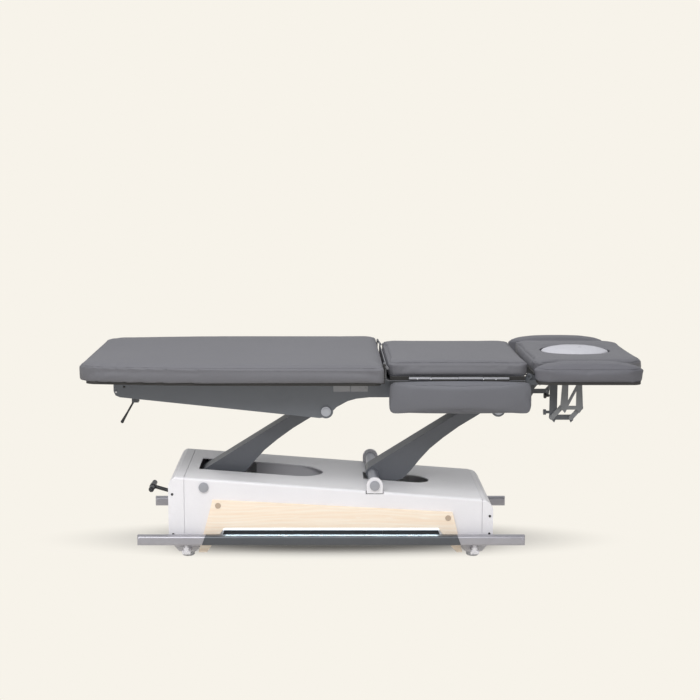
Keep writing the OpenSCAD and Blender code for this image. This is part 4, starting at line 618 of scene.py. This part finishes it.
def leatherette(name, light, deep):
    """Upholstery leatherette: a pebbled grain with fine creases, a soft sheen and slight clouding."""
    material, shader, at = new_finish(name)
    sway = at.grain(90.0, 2.0) * 0.0016
    swayed = at.node("ShaderNodeVectorMath", {"operation": "ADD"}, {0: at, 1: sway})
    pebble = at.node("ShaderNodeTexVoronoi", {"feature": "DISTANCE_TO_EDGE"},
                     {"Vector": swayed, "Scale": 620.0})
    crease = at.node("ShaderNodeTexVoronoi", {"feature": "DISTANCE_TO_EDGE"},
                     {"Vector": swayed, "Scale": 210.0})
    hills = pebble.between(0.0, 0.22)
    folds = crease.between(0.0, 0.05)
    pull = at.grain(7.0, 3.0)
    cloud = at.grain(2.4, 3.0)
    height = hills * 0.7 + folds * 0.3
    fine = at.node("ShaderNodeBump", {}, {"Height": height, "Strength": 0.30, "Distance": 0.0003})
    soft = at.node("ShaderNodeBump", {}, {"Height": pull, "Strength": 0.16, "Distance": 0.006,
                                          "Normal": fine})
    tone = cloud * 0.5 + pull * 0.2 + hills * 0.3
    set_shader(shader, {
        "Base Color": tone.tint(deep, light),
        "Roughness": 0.56 - hills * 0.08 + cloud * 0.06,
        "Normal": soft,
        "Specular IOR Level": 0.30,
    })
    return material


def stuffed(name, source, voxel, slack, reach, down=(0, 0, -1)):
    """Skins a cushion's block evenly, starts it a little small, and inflates it as foam fills a cover.
    The face that lies on the board, the last one along down, is held there."""
    piece = link(name, nodes[source].data.copy())
    cage = bmesh.new()
    cage.from_mesh(piece.data)
    bmesh.ops.remove_doubles(cage, verts=cage.verts, dist=0.00002)
    cage.to_mesh(piece.data)
    cage.free()
    skin = piece.modifiers.new("skin", "REMESH")
    skin.mode = "VOXEL"
    skin.voxel_size = voxel
    skin.use_smooth_shade = True
    settled(piece)
    down = Vector(down)
    rests = max(corner.dot(down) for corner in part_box(source))
    still = [v.co.dot(down) > rests - voxel * 0.6 for v in piece.data.vertices]
    smooth = piece.modifiers.new("smooth", "SMOOTH")
    smooth.factor = 0.5
    smooth.iterations = 12
    settled(piece)
    mesh = piece.data
    normals = [v.normal.copy() for v in mesh.vertices]
    for vertex, normal, held in zip(mesh.vertices, normals, still):
        if held:
            vertex.co += down * (rests - vertex.co.dot(down))
        else:
            vertex.co -= normal * slack
    mesh.update()
    start = [v.co.copy() for v in mesh.vertices]
    held = piece.vertex_groups.new(name="held")
    held.add([i for i, h in enumerate(still) if h], 1.0, "REPLACE")
    cloth = piece.modifiers.new("cover", "CLOTH")
    cloth.settings.quality = 3
    cloth.settings.mass = 0.3
    cloth.settings.tension_stiffness = 40
    cloth.settings.compression_stiffness = 40
    cloth.settings.shear_stiffness = 20
    cloth.settings.bending_stiffness = 6
    cloth.settings.use_pressure = True
    cloth.settings.uniform_pressure_force = 4.0
    cloth.settings.effector_weights.gravity = 0
    cloth.settings.vertex_group_mass = "held"
    cloth.point_cache.frame_start = 1
    cloth.point_cache.frame_end = 20
    for step in range(1, 21):
        bpy.context.scene.frame_set(step)
    settled(piece)
    bpy.context.scene.frame_set(1)
    for vertex, first in zip(piece.data.vertices, start):
        move = vertex.co - first
        if move.length > reach:
            vertex.co = first + move.normalized() * reach
    piece.data.update()
    smooth = piece.modifiers.new("smooth", "SMOOTH")
    smooth.factor = 0.5
    smooth.iterations = 3
    settled(piece)
    low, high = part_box(source)
    for axis in range(3):
        values = [v.co[axis] for v in piece.data.vertices]
        least, most = min(values), max(values)
        for vertex in piece.data.vertices:
            share = (vertex.co[axis] - least) / (most - least)
            vertex.co[axis] = low[axis] + share * (high[axis] - low[axis])
    piece.data.update()
    for face in piece.data.polygons:
        face.use_smooth = True
    return piece


def eased(piece, source, edge, foot_corner, head_corner):
    """Rounds a pad's corners in plan, and its top edge, further than the skin alone does."""
    low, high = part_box(source)
    for vertex in piece.data.vertices:
        sides = [vertex.co.x - low.x, high.x - vertex.co.x, vertex.co.y - low.y, high.y - vertex.co.y]
        corner = foot_corner if sides[0] < sides[1] else head_corner
        end = 1 if sides[0] < sides[1] else -1
        flank = 1 if sides[2] < sides[3] else -1
        across, along = min(sides[:2]), min(sides[2:])
        if across < corner and along < corner:
            u, v = 1 - max(0.0, across) / corner, 1 - max(0.0, along) / corner
            u, v = u * math.sqrt(1 - v * v / 2), v * math.sqrt(1 - u * u / 2)
            across, along = corner * (1 - u), corner * (1 - v)
            away = corner * (1 - math.hypot(u, v))
            inward = Vector((u * end, v * flank)).normalized() if away < corner else Vector((0, 0))
        else:
            away = min(across, along)
            inward = Vector((end, 0)) if across < along else Vector((0, flank))
        x = low.x + across if end > 0 else high.x - across
        y = low.y + along if flank > 0 else high.y - along
        u, v = 1 - max(0.0, away) / edge, 1 - (high.z - vertex.co.z) / edge
        z = vertex.co.z
        if u > 0 and v > 0:
            x += inward.x * edge * u * (1 - math.sqrt(1 - v * v / 2))
            y += inward.y * edge * u * (1 - math.sqrt(1 - v * v / 2))
            z -= edge * v * (1 - math.sqrt(1 - u * u / 2))
        vertex.co = (x, y, z)
    piece.data.update()


def lapped(piece, rests, drop, band=0.022):
    """Lets the cover's lower edge roll down past the edge of the board, in one even line."""
    for vertex in piece.data.vertices:
        if vertex.co.z < rests + band:
            wall = min(1.0, max(0.0, (0.97 - abs(vertex.normal.z)) / 0.35))
            vertex.co.z -= drop * wall * (1 - (vertex.co.z - rests) / band)
    piece.data.update()
    hem = piece.vertex_groups.new(name="hem")
    hem.add([v.index for v in piece.data.vertices if v.co.z < rests + band * 0.6], 1.0, "REPLACE")
    even = piece.modifiers.new("even", "SMOOTH")
    even.factor = 0.5
    even.iterations = 5
    even.vertex_group = "hem"
    settled(piece)


def finer(piece):
    """One subdivision, as the last step of a small cushion."""
    finish = piece.modifiers.new("finer", "SUBSURF")
    finish.levels = 1
    finish.render_levels = 1
    settled(piece)


def crease(piece, point, normal, depth, width):
    """Draws the cover in along a plane, as a line of sewing pulls it into the foam."""
    normal = Vector(normal)
    moves = []
    for vertex in piece.data.vertices:
        away = (vertex.co - Vector(point)).dot(normal)
        if abs(away) < width * 3 and abs(vertex.normal.dot(normal)) < 0.8:
            moves.append((vertex, vertex.normal * (depth * math.exp(-((away / width) ** 2)))))
    for vertex, move in moves:
        vertex.co -= move
    piece.data.update()


def outline(piece, point, normal, proud):
    """The closed line in which a plane cuts a piece, evened out and set a little proud of it."""
    cut = bmesh.new()
    cut.from_mesh(piece.data)
    geometry = cut.verts[:] + cut.edges[:] + cut.faces[:]
    found = bmesh.ops.bisect_plane(cut, geom=geometry, plane_co=point, plane_no=normal)["geom_cut"]
    next_to = {}
    for edge in found:
        if isinstance(edge, bmesh.types.BMEdge):
            first, second = edge.verts
            next_to.setdefault(first, []).append(second)
            next_to.setdefault(second, []).append(first)
    loops = []
    while next_to:
        start = next(iter(next_to))
        loop = [start]
        while True:
            ahead = [v for v in next_to.pop(loop[-1], []) if v in next_to]
            if not ahead:
                break
            loop.append(ahead[0])
        loops.append([v.co.copy() for v in loop])
    cut.free()
    loops.sort(key=len)
    line = loops[-1]
    count = len(line)
    for _ in range(6):
        line = [line[i] * 0.5 + (line[i - 1] + line[(i + 1) % count]) * 0.25 for i in range(count)]
    centre = sum(line, Vector()) / count
    result = []
    for i, place in enumerate(line):
        out = (line[(i + 1) % count] - line[i - 1]).cross(Vector(normal)).normalized()
        away = -1 if out.dot(place - centre) < 0 else 1
        result.append(place + out * away * proud)
    return result


stitches = growth("stitch_row", {"Spacing": "Float", "Length": "Float", "Thickness": "Float",
                                 "Finish": "Material"}, {
    "line": "GeometryNodeMeshToCurve", "even": "GeometryNodeResampleCurve",
    "grain": "GeometryNodeMeshUVSphere", "size": "ShaderNodeCombineXYZ",
    "shape": "GeometryNodeTransform", "along": "GeometryNodeInputTangent",
    "turn": "FunctionNodeAlignRotationToVector", "sew": "GeometryNodeInstanceOnPoints"}, (
    ("given", "Given", "line", "Mesh"), ("line", "Curve", "even", "Curve"),
    ("given", "Spacing", "even", "Length"), ("given", "Thickness", "size", "X"),
    ("given", "Thickness", "size", "Y"), ("given", "Length", "size", "Z"),
    ("grain", "Mesh", "shape", "Geometry"), ("size", "Vector", "shape", "Scale"),
    ("along", "Tangent", "turn", "Vector"), ("even", "Curve", "sew", "Points"),
    ("shape", "Geometry", "sew", "Instance"), ("turn", "Rotation", "sew", "Rotation"),
    ("sew", "Instances", "real", "Geometry")),
    {("grain", "Segments"): 6, ("grain", "Rings"): 4, ("grain", "Radius"): 1.0},
    {("even", "mode"): "LENGTH", ("turn", "axis"): "Z"})
cord = growth("welt_cord", {"Spacing": "Float", "Radius": "Float", "Finish": "Material"}, {
    "line": "GeometryNodeMeshToCurve", "even": "GeometryNodeResampleCurve",
    "round": "GeometryNodeCurvePrimitiveCircle", "sweep": "GeometryNodeCurveToMesh"}, (
    ("given", "Given", "line", "Mesh"), ("line", "Curve", "even", "Curve"),
    ("given", "Spacing", "even", "Length"), ("given", "Radius", "round", "Radius"),
    ("even", "Curve", "sweep", "Curve"), ("round", "Curve", "sweep", "Profile Curve"),
    ("sweep", "Mesh", "real", "Geometry")),
    {("round", "Resolution"): 8}, {("even", "mode"): "LENGTH"})


def welted(name, piece, point, normal, cover, body, radius=0.0013):
    """Closes a cushion's seam with a covered cord and a row of stitches beside it."""
    line = outline(piece, point, normal, radius * 0.1)
    welt = grown(name + "_welt", line, cord, {"Spacing": 0.004, "Radius": radius, "Finish": cover})
    row = outline(piece, Vector(point) - Vector(normal) * 0.0038, normal, 0.0001)
    sewn = grown(name + "_stitches", row, stitches,
                 {"Spacing": 0.0056, "Length": 0.0021, "Thickness": 0.00042, "Finish": thread})
    for part in (welt, sewn):
        tied(part, body)


def upholster(piece, material, body, source):
    """The cushion takes its finish, stands for its CAD solid and moves with its body."""
    piece.data.materials.clear()
    piece.data.materials.append(material)
    tied(piece, body)
    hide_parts(source)


thread = moulded("sewing_thread", paint(118, 118, 124), paint(96, 97, 102), 0.6)
cushion_grey = leatherette("cushion_grey", paint(110, 110, 115), paint(97, 97, 102))
wing_grey = leatherette("wing_grey", paint(109, 110, 116), paint(97, 98, 104))
up = (0, 0, 1)
board_z = 0.672  # where the leg cushion and the arm rests lie on their boards
tray_z = 0.676  # where the mid cushion lies in its tray
seam = (0, 0, 0.7225)
leg_cushion = stuffed("leg_cushion", "leg_pad", 0.0062, 0.0035, 0.0065)
leg_end = 0.068  # the leg cushion's head end, which stands flat beside the tray
flat_from = 0.038
for vertex in leg_cushion.data.vertices:
    if vertex.co.x > flat_from:
        vertex.co.x = min(leg_end, flat_from + (vertex.co.x - flat_from) * 1.5)
eased(leg_cushion, "leg_pad", 0.030, 0.110, 0.014)
lapped(leg_cushion, board_z, 0.008)
crease(leg_cushion, seam, up, 0.0014, 0.0045)
upholster(leg_cushion, cushion_grey, "leg_section", "leg_pad")
welted("leg", leg_cushion, seam, up, cushion_grey, "leg_section")
mid_cushion = stuffed("mid_cushion", "mid_pad", 0.0052, 0.0035, 0.0065)
eased(mid_cushion, "mid_pad", 0.024, 0.034, 0.034)
lapped(mid_cushion, tray_z, 0.004)
finer(mid_cushion)
crease(mid_cushion, seam, up, 0.0014, 0.0032)
upholster(mid_cushion, cushion_grey, "upper_frame", "mid_pad")
welted("mid", mid_cushion, seam, up, cushion_grey, "upper_frame")

# The head cushion has a round opening for the face, and a paler plug that fills it: a loose round pad with
# one sewn channel pressed across its top as a groove, and a dark cord along it as painted shade in the
# groove.

head_cushion = stuffed("head_cushion", "head_pad", 0.0050, 0.0035, 0.0065)
crown_z = 0.727  # above this the head cushion's crown is flatter, most of all round the opening
for vertex in head_cushion.data.vertices:
    if vertex.co.z > crown_z:
        across = min(1.0, abs(vertex.co.y) / 0.20)
        vertex.co.z = crown_z + (vertex.co.z - crown_z) * (0.50 + 0.40 * across * across)
eased(head_cushion, "head_pad", 0.024, 0.034, 0.085)
finer(head_cushion)
crease(head_cushion, seam, up, 0.0014, 0.0032)
upholster(head_cushion, cushion_grey, "head_section", "head_pad")
welted("head", head_cushion, seam, up, cushion_grey, "head_section")
plug_grey = leatherette("plug_grey", paint(193, 193, 199), paint(176, 176, 183))
plug_cushion = stuffed("plug_cushion", "face_plug", 0.0046, 0.0025, 0.0050)
finer(plug_cushion)
plug_low, plug_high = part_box("face_plug")
plug_x = (plug_low.x + plug_high.x) / 2
channel_half = 0.098  # half of the sewn channel's length, with a bow of 12 mm towards the near side
channel_bow = -0.012
channel_over = 1.15
for vertex in plug_cushion.data.vertices:
    reach = (vertex.co.x - plug_x) / channel_half
    rim = min(1.0, math.hypot((vertex.co.x - plug_x) / 0.124, vertex.co.y / 0.104))
    vertex.co.z += (vertex.co.z - plug_low.z) * (0.20 + 0.14 * (1 - rim * rim))
    if vertex.normal.z > 0.5 and abs(reach) < channel_over:
        bow = channel_bow * (1 - reach * reach)
        dip = math.exp(-(((vertex.co.y - bow) / 0.0042) ** 2))
        vertex.co.z -= 0.0042 * dip * min(1.0, (channel_over - abs(reach)) * 6)
plug_cushion.data.update()
bpy.context.view_layer.update()
channel = []
for step in range(-40, 41):
    reach = step / 40
    bow = channel_bow * (1 - reach * reach)
    for beside in (-0.0012, 0.0012):
        top = plug_cushion.ray_cast((plug_x + reach * channel_half, bow + beside, 1.0), (0, 0, -1))[1]
        channel.insert(0 if beside < 0 else len(channel), top + Vector((0, 0, 0.0002)))
upholster(plug_cushion, plug_grey, "plug", "face_plug")
# A cord in the darker thread colour lies along the pressed groove: painted shade for the groove's shadow.
channel_shade_cord = grown("plug_channel_shade_cord", channel, cord,
                  {"Spacing": 0.003, "Radius": 0.0018, "Finish": thread})
tied(channel_shade_cord, "plug")

# The wings hang at the sides of the middle section, and the arm rests stand
# beside the head cushion: slimmer pads of the same foam and leatherette.

wing_seam_y = 0.331
for side, sign in (("near", -1), ("far", 1)):
    wing = stuffed(side + "_wing_cushion", side + "_wing_pad", 0.0046, 0.003, 0.0055, (0, -sign, 0))
    finer(wing)
    face = (0, sign * wing_seam_y, 0)
    out = (0, sign, 0)
    crease(wing, face, out, 0.0012, 0.0030)
    upholster(wing, wing_grey, side + "_wing", side + "_wing_pad")
    welted(side + "_wing", wing, face, out, wing_grey, side + "_wing", radius=0.0011)
rest_grey = leatherette("rest_grey", paint(104, 104, 110), paint(92, 92, 98))
low_seam = (0, 0, 0.718)
full_width = 0.42  # the share of a rest's half length that keeps its full width
for side in ("near", "far"):
    rest = stuffed(side + "_arm_cushion", side + "_arm_pad", 0.0046, 0.003, 0.0055)
    low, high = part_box(side + "_arm_pad")
    inner, outer = (high.y, low.y) if side == "near" else (low.y, high.y)
    for vertex in rest.data.vertices:
        end = abs(2 * (vertex.co.x - low.x) / (high.x - low.x) - 1)
        narrow = max(0.0, (end - full_width) / (1 - full_width)) ** 2
        share = (vertex.co.y - outer) / (inner - outer)
        vertex.co.y = outer + (inner - outer) * (share * (1 - 0.46 * narrow) + 0.05 * narrow)
        vertex.co.z += (vertex.co.z - low.z) * (0.12 * (1 - end * end) - 0.08 * end ** 4)
    eased(rest, side + "_arm_pad", 0.028, 0.064, 0.064)
    lapped(rest, board_z, 0.007)
    finer(rest)
    crease(rest, low_seam, up, 0.0012, 0.0030)
    upholster(rest, rest_grey, side + "_rest", side + "_arm_pad")
    welted(side + "_rest", rest, low_seam, up, rest_grey, side + "_rest", radius=0.0011)
